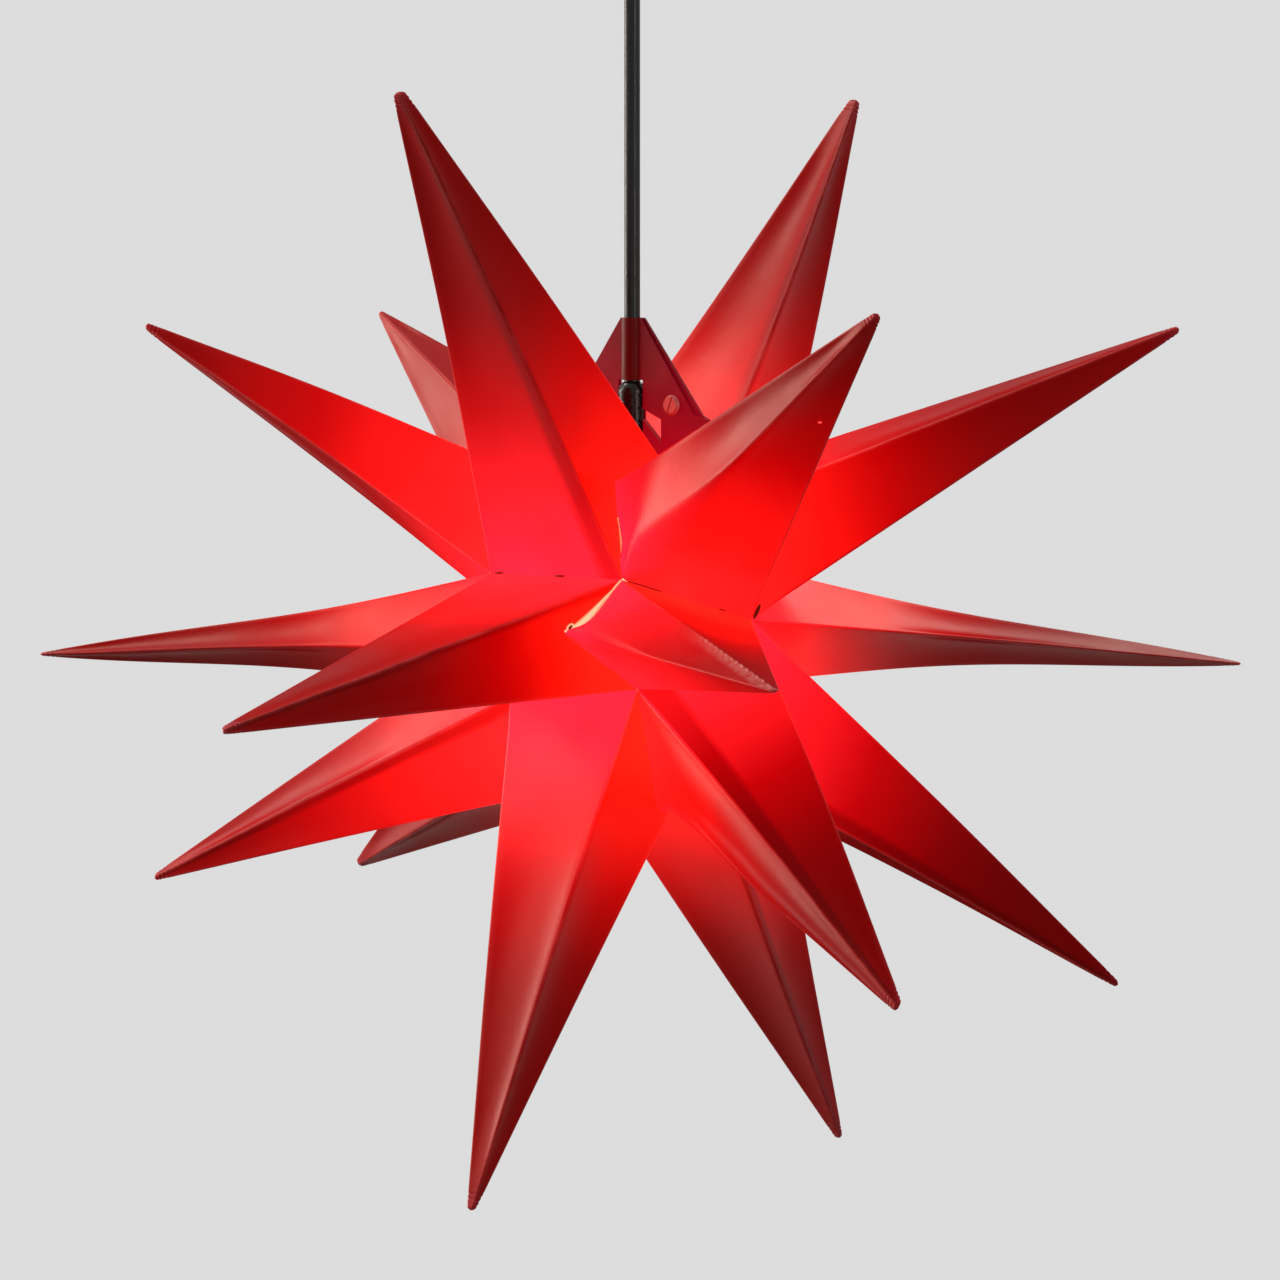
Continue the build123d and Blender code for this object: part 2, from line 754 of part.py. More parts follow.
def make_grip_nut():
    """Fluted nut that squeezes the seal sleeve onto the cable"""
    with BuildPart() as nut:
        with BuildSketch(level_plane(nut_base)):
            Circle(nut_radius)
        extrude(amount=nut_length)
        chamfer(nut.faces().sort_by(Axis.Z)[0].edges(), length=nut_chamfer)
        with BuildSketch(level_plane(nut_base)):
            with PolarLocations(nut_radius, nut_flutes):
                Circle(nut_flute_radius)
        extrude(amount=nut_length, mode=Mode.SUBTRACT)
        with BuildSketch(level_plane(spigot_base)):
            Circle(spigot_radius + grip_play)
        extrude(amount=spigot_length, mode=Mode.SUBTRACT)
        with BuildSketch(level_plane(nut_base + nut_floor)):
            Circle(seal_sleeve_radius + grip_play)
        extrude(amount=spigot_base - nut_base - nut_floor, mode=Mode.SUBTRACT)
        with BuildSketch(level_plane(nut_base)):
            Circle(cable_radius + grip_play)
        extrude(amount=nut_floor, mode=Mode.SUBTRACT)
    save(nut.part, "grip_nut")
    with BuildPart() as sleeve:
        with BuildSketch(level_plane(nut_base + nut_floor)):
            Circle(seal_sleeve_radius)
            Circle(cable_radius + grip_play, mode=Mode.SUBTRACT)
        extrude(amount=spigot_base - nut_base - nut_floor)
    save(sleeve.part, "grip_seal_sleeve")


for k in range(spikes_round):
    make_middle_spike(k)
    make_side_spike(k, 1, "front", front_lean_shares)
    make_side_spike(k, -1, "rear", rear_lean_shares)
make_seam_studs()
make_hanger_plate(-1, 0, "hanger_front_plate")
make_hanger_plate(1, plate_lap, "hanger_rear_plate")
make_hanger_rivets()
make_cable()
make_strain_relief()
make_holder_cap()
make_holder_body()
make_socket()
make_mouth_seal()
make_lamp_cap()
make_lamp_housing()
make_light_source()
make_globe()
make_suspension_grip()
make_grip_nut()
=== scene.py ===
import json
from collections import namedtuple
from math import cos, exp, pi, radians, sin

import bmesh
import bpy
from mathutils import Matrix, Vector, noise


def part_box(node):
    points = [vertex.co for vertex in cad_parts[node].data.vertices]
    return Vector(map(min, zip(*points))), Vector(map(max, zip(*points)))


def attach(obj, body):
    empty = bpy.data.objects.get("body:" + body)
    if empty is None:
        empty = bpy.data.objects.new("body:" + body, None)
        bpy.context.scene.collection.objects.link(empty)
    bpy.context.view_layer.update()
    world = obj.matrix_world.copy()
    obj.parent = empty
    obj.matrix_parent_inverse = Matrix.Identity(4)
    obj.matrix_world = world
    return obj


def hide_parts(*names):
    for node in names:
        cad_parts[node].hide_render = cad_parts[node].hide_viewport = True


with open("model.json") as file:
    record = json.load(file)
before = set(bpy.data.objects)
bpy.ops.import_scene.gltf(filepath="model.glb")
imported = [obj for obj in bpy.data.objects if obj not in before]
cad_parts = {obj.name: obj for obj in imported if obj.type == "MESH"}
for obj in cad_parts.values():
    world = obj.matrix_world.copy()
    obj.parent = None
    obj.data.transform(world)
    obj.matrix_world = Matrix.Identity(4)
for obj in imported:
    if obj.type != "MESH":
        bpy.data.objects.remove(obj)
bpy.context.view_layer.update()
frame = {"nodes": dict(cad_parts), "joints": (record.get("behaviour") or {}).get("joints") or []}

# The star's sizes in metres, and shares of them
CENTRE = Vector(frame["joints"][0]["pos_m"])
CORE_RADIUS = 0.053
SEAM_HALF = 0.0385
POLE_REACH = 0.067
CORNER_SHARE = 0.16
TIP_WIDTH = 0.0045
TIP_NARROW = 0.55
TIP_PLUG = 0.014
TIP_ROUNDING = 0.0022
TIP_END_SHARE = 0.3
TIP_SLICE = 0.0003
RIDGE_ROUND = 0.0016
RIDGE_ROUND_TIP = 0.0007
RIDGE_ROUND_LEAST = 0.0002
RIDGE_ROUND_ROOT_SHARE = 0.25
RIDGE_ROUND_GROWN_SHARE = 0.08
RIDGE_ROUND_WALL_SHARE = 0.42
SOFT_END_SHARE = 0.5
SOFT_PLAIN_SHARE = 0.6
BOW_POWER = 1.5
LEAST_CORNER_SINE = 0.3
FLAP_WIDTH = 0.007
FLAP_END_WIDTH = 0.0018
FLAP_EDGE_SHARES = (0.9, 1.15)
WELD_LENGTH = 0.01
WELD_HEIGHT = 0.00012
WELD_PITCH = 0.0022
WELD_FADE_SHARE = 0.5
WALL = 0.0008
WALL_DISH = 0.0012
SPIKES_ROUND = 6
STEP = 360 / SPIKES_ROUND
ENDS = {"front": 1, "rear": -1}
PLATE_GAP = 0.00125
NECK_CLEAR = 0.0071
CHANNEL_HALF = 0.0055
CHANNEL_EDGES = (CHANNEL_HALF * 0.75, CHANNEL_HALF * 1.15)

# Waves in the sheet's walls: height and rate of the long ones, and of the short ones against them, and the
# shares of the length between which both come in and go out
WAVE_HEIGHT = 0.0009
WAVE_RATE = 14
RIPPLE_HEIGHT = 0.0005
RIPPLE_RATE = 2.7
WAVE_IN_SHARES = (0.16, 0.45)
WAVE_OUT_SHARES = (0.85, 1)
SEED_STEPS = (3.1, 7.7, 1.3)

# Flanges inside the star, and their snap studs
FLANGE_DEPTH = 0.008
FLANGE_STOP_SHARE = 0.8
FLANGE_FACE_SHARES = (0.05, 1.0)
STUD_RADIUS = 0.0015
STUD_HEAD_RADIUS = 0.0026
STUD_HEAD_HEIGHT = 0.0011
STUD_EDGE_SHARE = 0.35
STUD_SIDES = 20
STUD_DROP = 0.0045
HANGER_SEAM = 1.5

# The lamp's light, as it comes through the sheet
LAMP = CENTRE + Vector((0, 0, -0.012))
GLOW_CORE = 0.05
GLOW_REACH = 0.084
GLOW_LEAST = 0.86
GLOW_FACING = 0.3

# Openings at the roots with painted light and shadow in them, marks on the walls (dark gaps of painted shade
# and pale specks painted as highlights), and the band of painted sheen and rubbing beside a torn ridge
SLIT_LAY = 0.0003
SLIT_PEAK = 1.7
SLIT_FULLNESS = 0.8
SLIT_UP_SHARE = 0.1
SLIT_DARK_SHARE = 0.25
SLIT_LIT_SHARE = 0.4
LIP_SHARE = 0.17
EYELET_LONG = 0.0042
EYELET_SHORT = 0.0022
EYELET_BEAD = 0.00045
EYELET_RISE = 0.0007
EYELET_SHARE = 0.9
GAP_RISE = 0.0007
SPECK_LAY = 0.0002
SPECK_GLOW = 0.5
SPECK_SHEEN = 3.0
SHEEN_WORN_WIDTH = 0.0055
SHEEN_WORN_EDGE_SHARE = 0.4
SHEEN_WORN_SHARE = 0.28
SHEEN_WORN_IN_SHARES = (-0.1, 0.25)
TOOTH_WEAR = 0.35
TOOTH_WEAR_RATE = 0.9
TOOTH_GROWTH_SHARE = 0.1

# How each spike's mesh is divided
BODY_ROWS = 34
WELD_ROW = 0.00045
INNER_ROWS = 18
WALL_COLUMNS = 13
ARC_COLUMNS = 5
SLIT_STEPS = 24
SLIT_COLUMNS = 4
BEAD_SIDES = 8
LENS_SIDES = 16

# Finishes of a spike's sheet, in the order of their slots; the last is painted shade in holes and dark gaps
OUTSIDE, INSIDE, EDGE, HOLE_SHADE = range(4)

# Looks of the sheet: the painted highlight and scuffs along its ridges, the painted shade of its glued
# overlap, the curve of its painted pink light, and its roughness at a slant
RIDGE_HIGHLIGHT_LINE = (0.0002, 0.0016)
FLAP_DIMMING = 0.4
FLAP_SHADE = 0.5
PAINTED_PINK_CURVE = 1.4
SLANT_ROUGHER = (0.64, 0.8, 0.0, 0.62)

# Noise of the finishes: scale, the two values it runs between, and detail for the fine ones
LIGHT_MOTTLE = (22, 0.9, 1.08)
RIDGE_HIGHLIGHT_SCUFFS = (60, 0.1, 0.75)
TORN_SHEEN_SCUFFS = (420, 0.1, 1.1)
SHEET_ROUGH = (35, 0.3, 0.38)
SHEET_FINE = (240, 0.0, 1.0, 4)
EDGE_TONE = (90, 0.55, 1.0)
EDGE_ROUGH = (140, 0.35, 0.55)
PLAIN_TONE = (64, 0, 1)
PLAIN_FINE = (640, 0, 1, 4)
PLATE_TONE = (45, 0, 1)
PLATE_ROUGH = (70, 0.28, 0.4)
PLATE_FINE = (260, 0, 1, 4)

# What the noise itself mostly lies between
NOISE_ENDS = (0.3, 0.7)

# Strength and depth of their grain
SHEET_GRAIN = (0.12, 0.0002)
PLAIN_GRAIN = (0.1, 0.0001)
PLATE_GRAIN = (0.12, 0.0001)

# Tone and roughness of the plain finishes, and the plates' rougher channel
PLAIN_DARKER = 0.82
PLAIN_ROUGH_SCALE = 160
PLAIN_ROUGH_SPREAD = 0.08
CHANNEL_ROUGHER = 0.12

# Sockets of a mix node
MIX_FACTOR, MIX_FIRST, MIX_SECOND = 0, 6, 7
MIX_RESULT = 2

# Cable: how far from each end its second point lies
CABLE_END_RUN = 0.012

# Photograph's viewing angle
CAMERA_DISTANCE = 1.925
CAMERA_TURN = radians(-50.16)
CAMERA_RISE = radians(5.35)
CAMERA_LENS = 121.8
SENSOR = 36.0
PICTURE_SIZE = 1280
STAR_IN_PICTURE = (632.2, 629.9)

# Stage
BACKGROUND = 0.72
FLOOR_BOUNCE = 0.1
FLOOR_DROP = 0.62
FLOOR_HALF = 60.0
FLOOR_FADE = (1.1, 1.6)
WORLD_LIGHT = 0.33
WORLD_COLOUR = (0.95, 0.97, 1.0)
LAMP_COLOUR = (1.0, 0.88, 0.76)

# Long soft lamps: name, both ends to the right, up and towards the camera, width, power
LAMPS = [
    ("left_lamp", (-2.22, -0.22, -0.42), (-1.88, 0.65, -1.12), 0.5, 25.0),
    ("low_lamp", (-2.14, -0.2, -0.66), (-2.0, -0.14, -0.96), 0.4, 9.0),
    ("top_lamp", (-1.5, 1.75, -0.38), (-0.75, 2.05, -0.5), 0.5, 18.0),
    ("corner_lamp", (-1.7, 1.5, -0.2), (-2.2, 0.5, 0.15), 0.5, 10.0),
    ("right_top_lamp", (0.2, 1.78, -1.36), (1.05, 1.5, -1.44), 0.55, 7.5),
    ("back_lamp", (-1.5, 1.05, -1.4), (-0.75, 1.2, -1.7), 0.4, 3.0),
    ("front_lamp", (1.5, -0.2, 2.0), (1.9, 0.6, 1.6), 0.6, 8.0),
]

# Directions as the photograph shows them
TOWARDS = Vector((cos(CAMERA_TURN) * cos(CAMERA_RISE), sin(CAMERA_TURN) * cos(CAMERA_RISE), sin(CAMERA_RISE)))
RIGHT = Vector((-sin(CAMERA_TURN), cos(CAMERA_TURN), 0))
UP = TOWARDS.cross(RIGHT)


def smooth_share(low, high, value):
    """0 below low, 1 above high, with an even curve between"""
    share = min(1, max(0, (value - low) / (high - low)))
    return share * share * (3 - 2 * share)


def star_point(angle, radius, along):
    """Point at an angle round the star's axis, a radius off it and a distance along it"""
    turn = radians(angle)
    return CENTRE + Vector((along, radius * cos(turn), radius * sin(turn)))


def middle(points):
    """Mean of some points"""
    return sum(points, Vector()) / len(points)


def pointing(direction, guide):
    """A direction or its opposite, whichever goes the guide's way"""
    return direction if direction.dot(guide) > 0 else -direction


def tip_of(node, root):
    """Middle of the blunt end of a spike in the frame"""
    places = [vertex.co.copy() for vertex in frame["nodes"][node].data.vertices]
    out = (max(places, key=lambda place: (place - root).length) - root).normalized()
    for _ in range(3):
        reach = max((place - root).dot(out) for place in places)
        end = [place for place in places if (place - root).dot(out) > reach - TIP_SLICE]
        tip = middle(end)
        out = (tip - root).normalized()
    return tip


def apex_of(tip, root):
    """Point beyond the blunt tip where the ridge lines would meet"""
    return root + (tip - root) / (1 - TIP_WIDTH / CORE_RADIUS)


# How far the core's seam points (turn, end) and its two poles stand out of true, right and up in the picture
SEAM_SHIFTS = {
    (2.5, 1): (-0.0047, 0.0007),
    (2.5, -1): (-0.0038, -0.0003),
    (3.5, 1): (0.002, 0.0062),
    (3.5, -1): (0.0049, -0.0024),
    (5.5, 1): (0.0, 0.0026),
}
POLE_SHIFTS = {1: (0.0006, 0.0085), -1: (0.0, 0.0)}

# Outer root corner of a side spike: its share up the middle spike's wall, and its shift along that root
OUTER_SHARES = {
    "front_120": (0.155, 0.151),
    "front_180": (0.17, -0.244),
    "front_240": (0.136, 0.332),
}


def in_picture(right, up):
    """Vector so far to the picture's right and up"""
    return RIGHT * right + UP * up


def true_seam_point(turn, end):
    """End of a seam between two middle spikes, at a turn counted in spikes"""
    return star_point(STEP * turn, CORE_RADIUS, end * SEAM_HALF)


def seam_point(turn, end):
    """The same, as far out of true as the photograph has it"""
    turn %= SPIKES_ROUND
    return true_seam_point(turn, end) + in_picture(*SEAM_SHIFTS.get((turn, end), (0, 0)))


def pole_point(end):
    """Where six side spikes meet"""
    return CENTRE + Vector((end * POLE_REACH, 0, 0)) + in_picture(*POLE_SHIFTS[end])


def seam_directions(turn):
    """Out from the star's axis along a seam's plane, and across that plane"""
    angle = radians(STEP * turn)
    return Vector((0, cos(angle), sin(angle))), Vector((0, -sin(angle), cos(angle)))


def side_seam(turn, end):
    """A seam between side spikes: its corner, its pole, and the way into the star square to it"""
    corner, pole = seam_point(turn, end), pole_point(end)
    outward, _ = seam_directions(turn)
    run = (pole - corner).normalized()
    return corner, pole, (-outward + run * outward.dot(run)).normalized()


def middle_root(k, point=seam_point):
    """Root corners of a middle spike"""
    return [point(turn, end) for turn, end in ((k - 0.5, 1), (k + 0.5, 1), (k + 0.5, -1), (k - 0.5, -1))]


def side_root(k, end, name):
    """Root corners of a side spike: the pole, two seam corners, and one on its middle spike's wall"""
    root = middle(middle_root(k, true_seam_point))
    apex = apex_of(tip_of(f"middle_spike_{round(STEP * k):03d}", root), root)
    before, after = true_seam_point(k - 0.5, end), true_seam_point(k + 0.5, end)
    share, shift = OUTER_SHARES.get(name, (CORNER_SHARE, 0))
    outer = (middle([before, after]) + (after - before) * shift).lerp(apex, share)
    return [pole_point(end), seam_point(k - 0.5, end), outer, seam_point(k + 0.5, end)]


# What makes each spike its own:
# bow: how far its middle stands out to the picture's right and up
# slim: how much thinner it is there
# narrow: its end's width against the frame's
# dish: how far its walls sink in
# bulge: how far some of them stand out instead
# flap: the ridge with the glued overlap, the side of it and its width
# soft: ridges that start out round
# slits: root edges that sink in and leave an opening, as start, end, depth and the brightness of the light
# painted in it
# reach: walls that the light reaches less or further
# pink: walls with less of the painted pink light than they would have
# teeth: a ridge with a torn edge, as its number, start, pitch and height
# specks: small pale spots painted on a wall as highlights, as its number, share out, share across and size
# notches: dark gaps of painted shadow along a ridge, as its number, start, end and width
SPIKE_LOOKS = {
    "middle_060": dict(narrow=0.7, bow=(0.0014, 0), flap=(1, 1), dish=0.0016),
    "middle_120": dict(narrow=0.7, bow=(0.0012, 0), flap=(1, 1, 0.012)),
    "middle_180": dict(narrow=0.65, flap=(0, 1, 0.004), reach={0: 0.95}),
    "middle_240": dict(narrow=0.55, bow=(-0.0006, 0), dish=0.0018, reach={0: 0.88}, pink={3: 0.9}),
    "middle_300": dict(narrow=0.5, bow=(-0.0008, 0), flap=(0, 1), reach={3: 0.91}, pink={3: 0.35}),
    "front_000": dict(narrow=0.45, slim=0.22, bow=(0.0, 0.0008), reach={0: 0.55, 3: 0.95}),
    "front_060": dict(narrow=0.65, flap=(0, 1), reach={3: 1.05}, pink={3: 0.4}),
    "front_120": dict(flap=(0, 1), soft={3: 0.012}, slits={2: (0.36, 0.8, 0.0013, 0.7)}, reach={3: 1.4},
                      pink={3: 0.6}, specks=((3, 0.66, 0.7, 0.0009),), notches=((0, 0.005, 0.06, 0.0018),)),
    "front_180": dict(soft={2: 0.01}, slits={1: (0.02, 0.97, 0.0036, 1.0)}, teeth=(1, 0.5, 0.0066, 0.0013),
                      reach={0: 1.25, 1: 1.35, 2: 2.1}, pink={0: 0.4, 2: 0.7}),
    "front_240": dict(narrow=0.7, bow=(0.0014, 0.0002), flap=(1, -1, 0.012), soft={2: 0.016}, pink={1: 0.3},
                      bulge={1: 0.0046}, reach={1: 1.15}),
    "front_300": dict(bow=(0, 0.0014), flap=(1, -1, 0.009), reach={1: 0.58}),
    "rear_060": dict(narrow=0.4, slim=0.02, bow=(0, 0.001)),
    "rear_120": dict(narrow=0.7, bow=(0, 0.0015), flap=(1, 1), reach={2: 1.55, 3: 0.75}, pink={2: 0.55}),
    "rear_180": dict(narrow=0.4, slim=0.22, bow=(0, 0.001), reach={1: 1.05, 2: 0.65}),
    "rear_240": dict(narrow=0.55, bow=(0, 0.0005), flap=(1, 1), reach={1: 1.5}, pink={1: 0.5}),
    "rear_300": dict(narrow=0.6, flap=(1, 1), reach={0: 1.05, 1: 0.85}, pink={0: 0.4, 1: 0.7}),
}

# What holds where a spike's own entry says nothing
PLAIN_LOOKS = dict(bow=(0, 0), slim=0, narrow=TIP_NARROW, dish=WALL_DISH, bulge={}, flap=None, soft={},
                   slits={}, reach={}, pink={}, teeth=None, specks=(), notches=())

# Dark gaps left along the seams, drawn as lenses of painted shade with a dim red glow: the seam's turn, its
# end (0 for the seam across the middle, else the seam to that pole), where the gap starts and ends along it,
# and its width
SEAM_GAPS = [
    (2.5, 0, 0.04, 0.11, 0.0014),
    (2.5, 0, 0.5, 0.58, 0.0014),
    (2.5, 1, 0.04, 0.3, 0.0017),
    (2.5, 1, 0.74, 0.79, 0.0012),
    (3.5, 1, 0.0, 0.14, 0.0016),
    (0.5, 1, 0.72, 1.0, 0.0012),
    (4.5, -1, 0.4, 0.46, 0.001),
    (5.5, -1, 0.1, 0.2, 0.001),
    (0.5, -1, 0.6, 0.66, 0.001),
]


class Spike:
    """One spike's root, tip and looks"""

    def __init__(self, name, corners, seed):
        self.name = name
        self.node = name.replace("_", "_spike_", 1)
        self.corners = corners
        self.root = middle(corners)
        self.tip = tip_of(self.node, self.root)
        self.apex = apex_of(self.tip, self.root)
        self.out = (self.tip - self.root).normalized()
        self.length = (self.tip - self.root).length
        self.seed = Vector([seed * step for step in SEED_STEPS])
        for key, value in {**PLAIN_LOOKS, **SPIKE_LOOKS.get(name, {})}.items():
            setattr(self, key, value)
        self.bow = in_picture(*self.bow)
        self.ends = [self.tip.lerp(self.ridge_end(corner), self.narrow) for corner in corners]
        self.tooth_height = self.teeth[3] if self.teeth else 0.0

    def ridge_end(self, corner):
        """Where a ridge meets the plane of the blunt tip"""
        ridge = self.apex - corner
        return corner + ridge * ((self.tip - corner).dot(self.out) / ridge.dot(self.out))

    def level(self, u):
        """The four ridge places at a share of the length, bowed and slimmed"""
        places = [corner.lerp(end, u) for corner, end in zip(self.corners, self.ends)]
        hump = sin(pi * u) ** BOW_POWER if 0 < u < 1 else 0
        heart = middle(places)
        scale = (1 - self.slim * hump) * self.tip_scale(u)
        return [heart + (place - heart) * scale + self.bow * hump for place in places]

    def tip_scale(self, u):
        """Width of the welded end against a plain cut one: its end rounded off, fine ridges across it"""
        to_go = (1 - u) * self.length
        if to_go >= WELD_LENGTH:
            return 1
        round_share = max(0, 1 - to_go / TIP_ROUNDING)
        rounded = 1 - (1 - TIP_END_SHARE) * (1 - max(0, 1 - round_share**2) ** 0.5)
        fade = 1 - smooth_share(WELD_LENGTH * WELD_FADE_SHARE, WELD_LENGTH, to_go)
        ridges = WELD_HEIGHT / (TIP_WIDTH * TIP_NARROW) * fade * (1 + cos(2 * pi * to_go / WELD_PITCH))
        return rounded - ridges

    def ridge_rounding(self, ridge, u, inset):
        """How far from a ridge its rounding starts"""
        rounding = RIDGE_ROUND + (RIDGE_ROUND_TIP - RIDGE_ROUND) * u
        soft = self.soft.get(ridge, 0) * (1 - smooth_share(0, SOFT_END_SHARE, u))
        grown = smooth_share(0, RIDGE_ROUND_GROWN_SHARE, u)
        grown = RIDGE_ROUND_ROOT_SHARE + (1 - RIDGE_ROUND_ROOT_SHARE) * grown
        return max(RIDGE_ROUND_LEAST, (rounding + soft) * grown - inset)

    def tooth(self, ridge, u):
        """Share of a tooth's height at a share of the length"""
        if not self.teeth or self.teeth[0] != ridge or u < self.teeth[1]:
            return 0.0
        turn = (1 - u) * self.length / self.teeth[2]
        wear = noise.noise(Vector((turn * TOOTH_WEAR_RATE, 0, 0)) + self.seed)
        grown = smooth_share(self.teeth[1], self.teeth[1] + TOOTH_GROWTH_SHARE, u)
        return (1 - TOOTH_WEAR + TOOTH_WEAR * wear) * (turn % 1) ** 2 * grown

    def sheen_and_worn_band(self, wall, u, run):
        """Paler band beside a torn ridge: painted sheen, and the sheet rubbed there"""
        if not self.teeth or self.teeth[0] != wall:
            return 0.0
        started = smooth_share(*(self.teeth[1] + share for share in SHEEN_WORN_IN_SHARES), u)
        return SHEEN_WORN_SHARE * started * (1 - smooth_share(SHEEN_WORN_WIDTH * SHEEN_WORN_EDGE_SHARE, SHEEN_WORN_WIDTH, run))

    def wall_inward(self, start, end, heart):
        """Direction into the spike from one of its walls"""
        return pointing(self.out.cross(end - start).normalized(), heart - start)


def inset_level(places, inset):
    """Four ridge places moved in, so that each wall moves by the inset"""
    if inset == 0:
        return places
    moved = []
    for i, place in enumerate(places):
        ahead = (places[(i + 1) % 4] - place).normalized()
        behind = (places[i - 1] - place).normalized()
        sine = max(LEAST_CORNER_SINE, ahead.cross(behind).length)
        moved.append(place + (ahead + behind) * (inset / sine))
    return moved


# A place on the sheet, and what it is like there
SheetPoint = namedtuple("SheetPoint", "place inward reach pink ridge flap scuff")


def ring_points(spike, u, inset):
    """Places round one level, each with what the sheet is like there"""
    places = inset_level(spike.level(u), inset)
    heart = middle(places)
    fade = smooth_share(*WAVE_IN_SHARES, u) * (1 - smooth_share(*WAVE_OUT_SHARES, u))
    widths = [(places[(wall + 1) % 4] - places[wall]).length for wall in range(4)]
    roundings = [min(spike.ridge_rounding(ridge, u, inset), widths[ridge] * RIDGE_ROUND_WALL_SHARE,
                     widths[ridge - 1] * RIDGE_ROUND_WALL_SHARE) for ridge in range(4)]
    inwards = [spike.wall_inward(places[wall], places[(wall + 1) % 4], heart) for wall in range(4)]
    reaches = [spike.reach.get(wall, 1) for wall in range(4)]
    painted_pinks = [spike.pink.get(wall, 1) for wall in range(4)]
    found = []
    for wall in range(4):
        start, end = places[wall], places[(wall + 1) % 4]
        along = (end - start).normalized()
        rounding, width = roundings[wall], widths[wall]
        into = start + (places[wall - 1] - start).normalized() * rounding
        leave = start + along * rounding
        tooth = spike.tooth(wall, u)
        ridge_out = (start - heart).normalized()
        plain_ridge = spike.soft.get(wall, 0) * (1 - smooth_share(0, SOFT_PLAIN_SHARE, u))
        for j in range(ARC_COLUMNS):
            t = (j + 0.5) / ARC_COLUMNS
            place = into * (1 - t) ** 2 + start * (2 * t * (1 - t)) + leave * t**2
            place += ridge_out * (spike.tooth_height * tooth * sin(pi * t))
            found.append(SheetPoint(
                place, inwards[wall - 1].lerp(inwards[wall], t).normalized(),
                reaches[wall - 1] * (1 - t) + reaches[wall] * t, painted_pinks[wall - 1] * (1 - t) + painted_pinks[wall] * t,
                abs(t - 0.5) * 2 * rounding + plain_ridge, flap_share(spike, wall, 0, width, u),
                max(tooth, spike.sheen_and_worn_band(wall, u, 0)),
            ))
        for j in range(WALL_COLUMNS):
            s = j / (WALL_COLUMNS - 1)
            run = rounding + (width - rounding - roundings[(wall + 1) % 4]) * s
            place = start + along * run
            probe = place * WAVE_RATE + spike.seed
            wave = noise.noise(probe) * WAVE_HEIGHT + noise.noise(probe * RIPPLE_RATE) * RIPPLE_HEIGHT
            sink = (spike.dish * width / CORE_RADIUS * 2 + wave) * fade * 4 * s * (1 - s)
            sink -= spike.bulge.get(wall, 0) * sin(pi * u) * 4 * s * (1 - s)
            sunk = slit_depth(spike, wall, s) * (1 - smooth_share(0, SLIT_UP_SHARE, u))
            found.append(SheetPoint(
                place + inwards[wall] * (sink + sunk), inwards[wall], reaches[wall], painted_pinks[wall],
                min(run, width - run), flap_share(spike, wall, run, width, u), spike.sheen_and_worn_band(wall, u, run),
            ))
    return found


def flap_share(spike, wall, run, width, u):
    """1 on the glued overlap beside its ridge, 0 elsewhere"""
    if not spike.flap:
        return 0.0
    ridge, side, *given = spike.flap
    flap = given[0] if given else FLAP_WIDTH
    flap += (FLAP_END_WIDTH - flap) * u
    if wall != (ridge if side > 0 else (ridge - 1) % 4):
        return 0.0
    off_ridge = run if side > 0 else width - run
    near, far = FLAP_EDGE_SHARES
    return 1 - smooth_share(flap * near, flap * far, off_ridge)


def slit_depth(spike, wall, s):
    """How far a root edge has sunk in at a share of its run"""
    if wall not in spike.slits:
        return 0.0
    start, end, depth, _ = spike.slits[wall]
    share = (s - start) / (end - start)
    return depth * sin(pi * share**SLIT_PEAK) ** SLIT_FULLNESS if 0 < share < 1 else 0.0


def settle(spike, place):
    """Keeps the two spikes beside the hanger off its plates and off the lamp's neck"""
    local = place - CENTRE
    if spike.name == "middle_060":
        local.y = max(local.y, PLATE_GAP)
    if spike.name == "middle_120":
        local.y = min(local.y, -PLATE_GAP)
    off_post = Vector((local.x, local.y, 0))
    if spike.name in ("middle_060", "middle_120") and off_post.length < NECK_CLEAR and local.z > 0:
        moved = off_post.normalized() * NECK_CLEAR
        local.x, local.y = moved.x, moved.y
    return CENTRE + local


def glow_at(place, outward, reach):
    """Share of the lamp's light that comes through the sheet at a place"""
    off = (place - CENTRE).length
    falloff = exp(-((max(0, off - GLOW_CORE) / (GLOW_REACH * reach)) ** 2))
    to_lamp = (LAMP - place).normalized()
    facing = max(0, -outward.dot(to_lamp))
    return falloff * (GLOW_LEAST + GLOW_FACING * facing)


def even_rows(count, low, high):
    """Shares of the length for the rows, closer together near both ends"""
    return [low + (high - low) * (0.5 - 0.5 * cos(pi * i / (count - 1))) for i in range(count)]


def outer_rows(spike):
    """Rows of the outer surface, packed closer over a torn ridge and over the welded end"""
    weld_start = 1 - WELD_LENGTH / spike.length
    close_start = spike.teeth[1] if spike.teeth else weld_start
    rows = even_rows(BODY_ROWS, 0, close_start)
    count = round((1 - close_start) * spike.length / WELD_ROW)
    return rows + [close_start + (1 - close_start) * (i + 1) / count for i in range(count)]


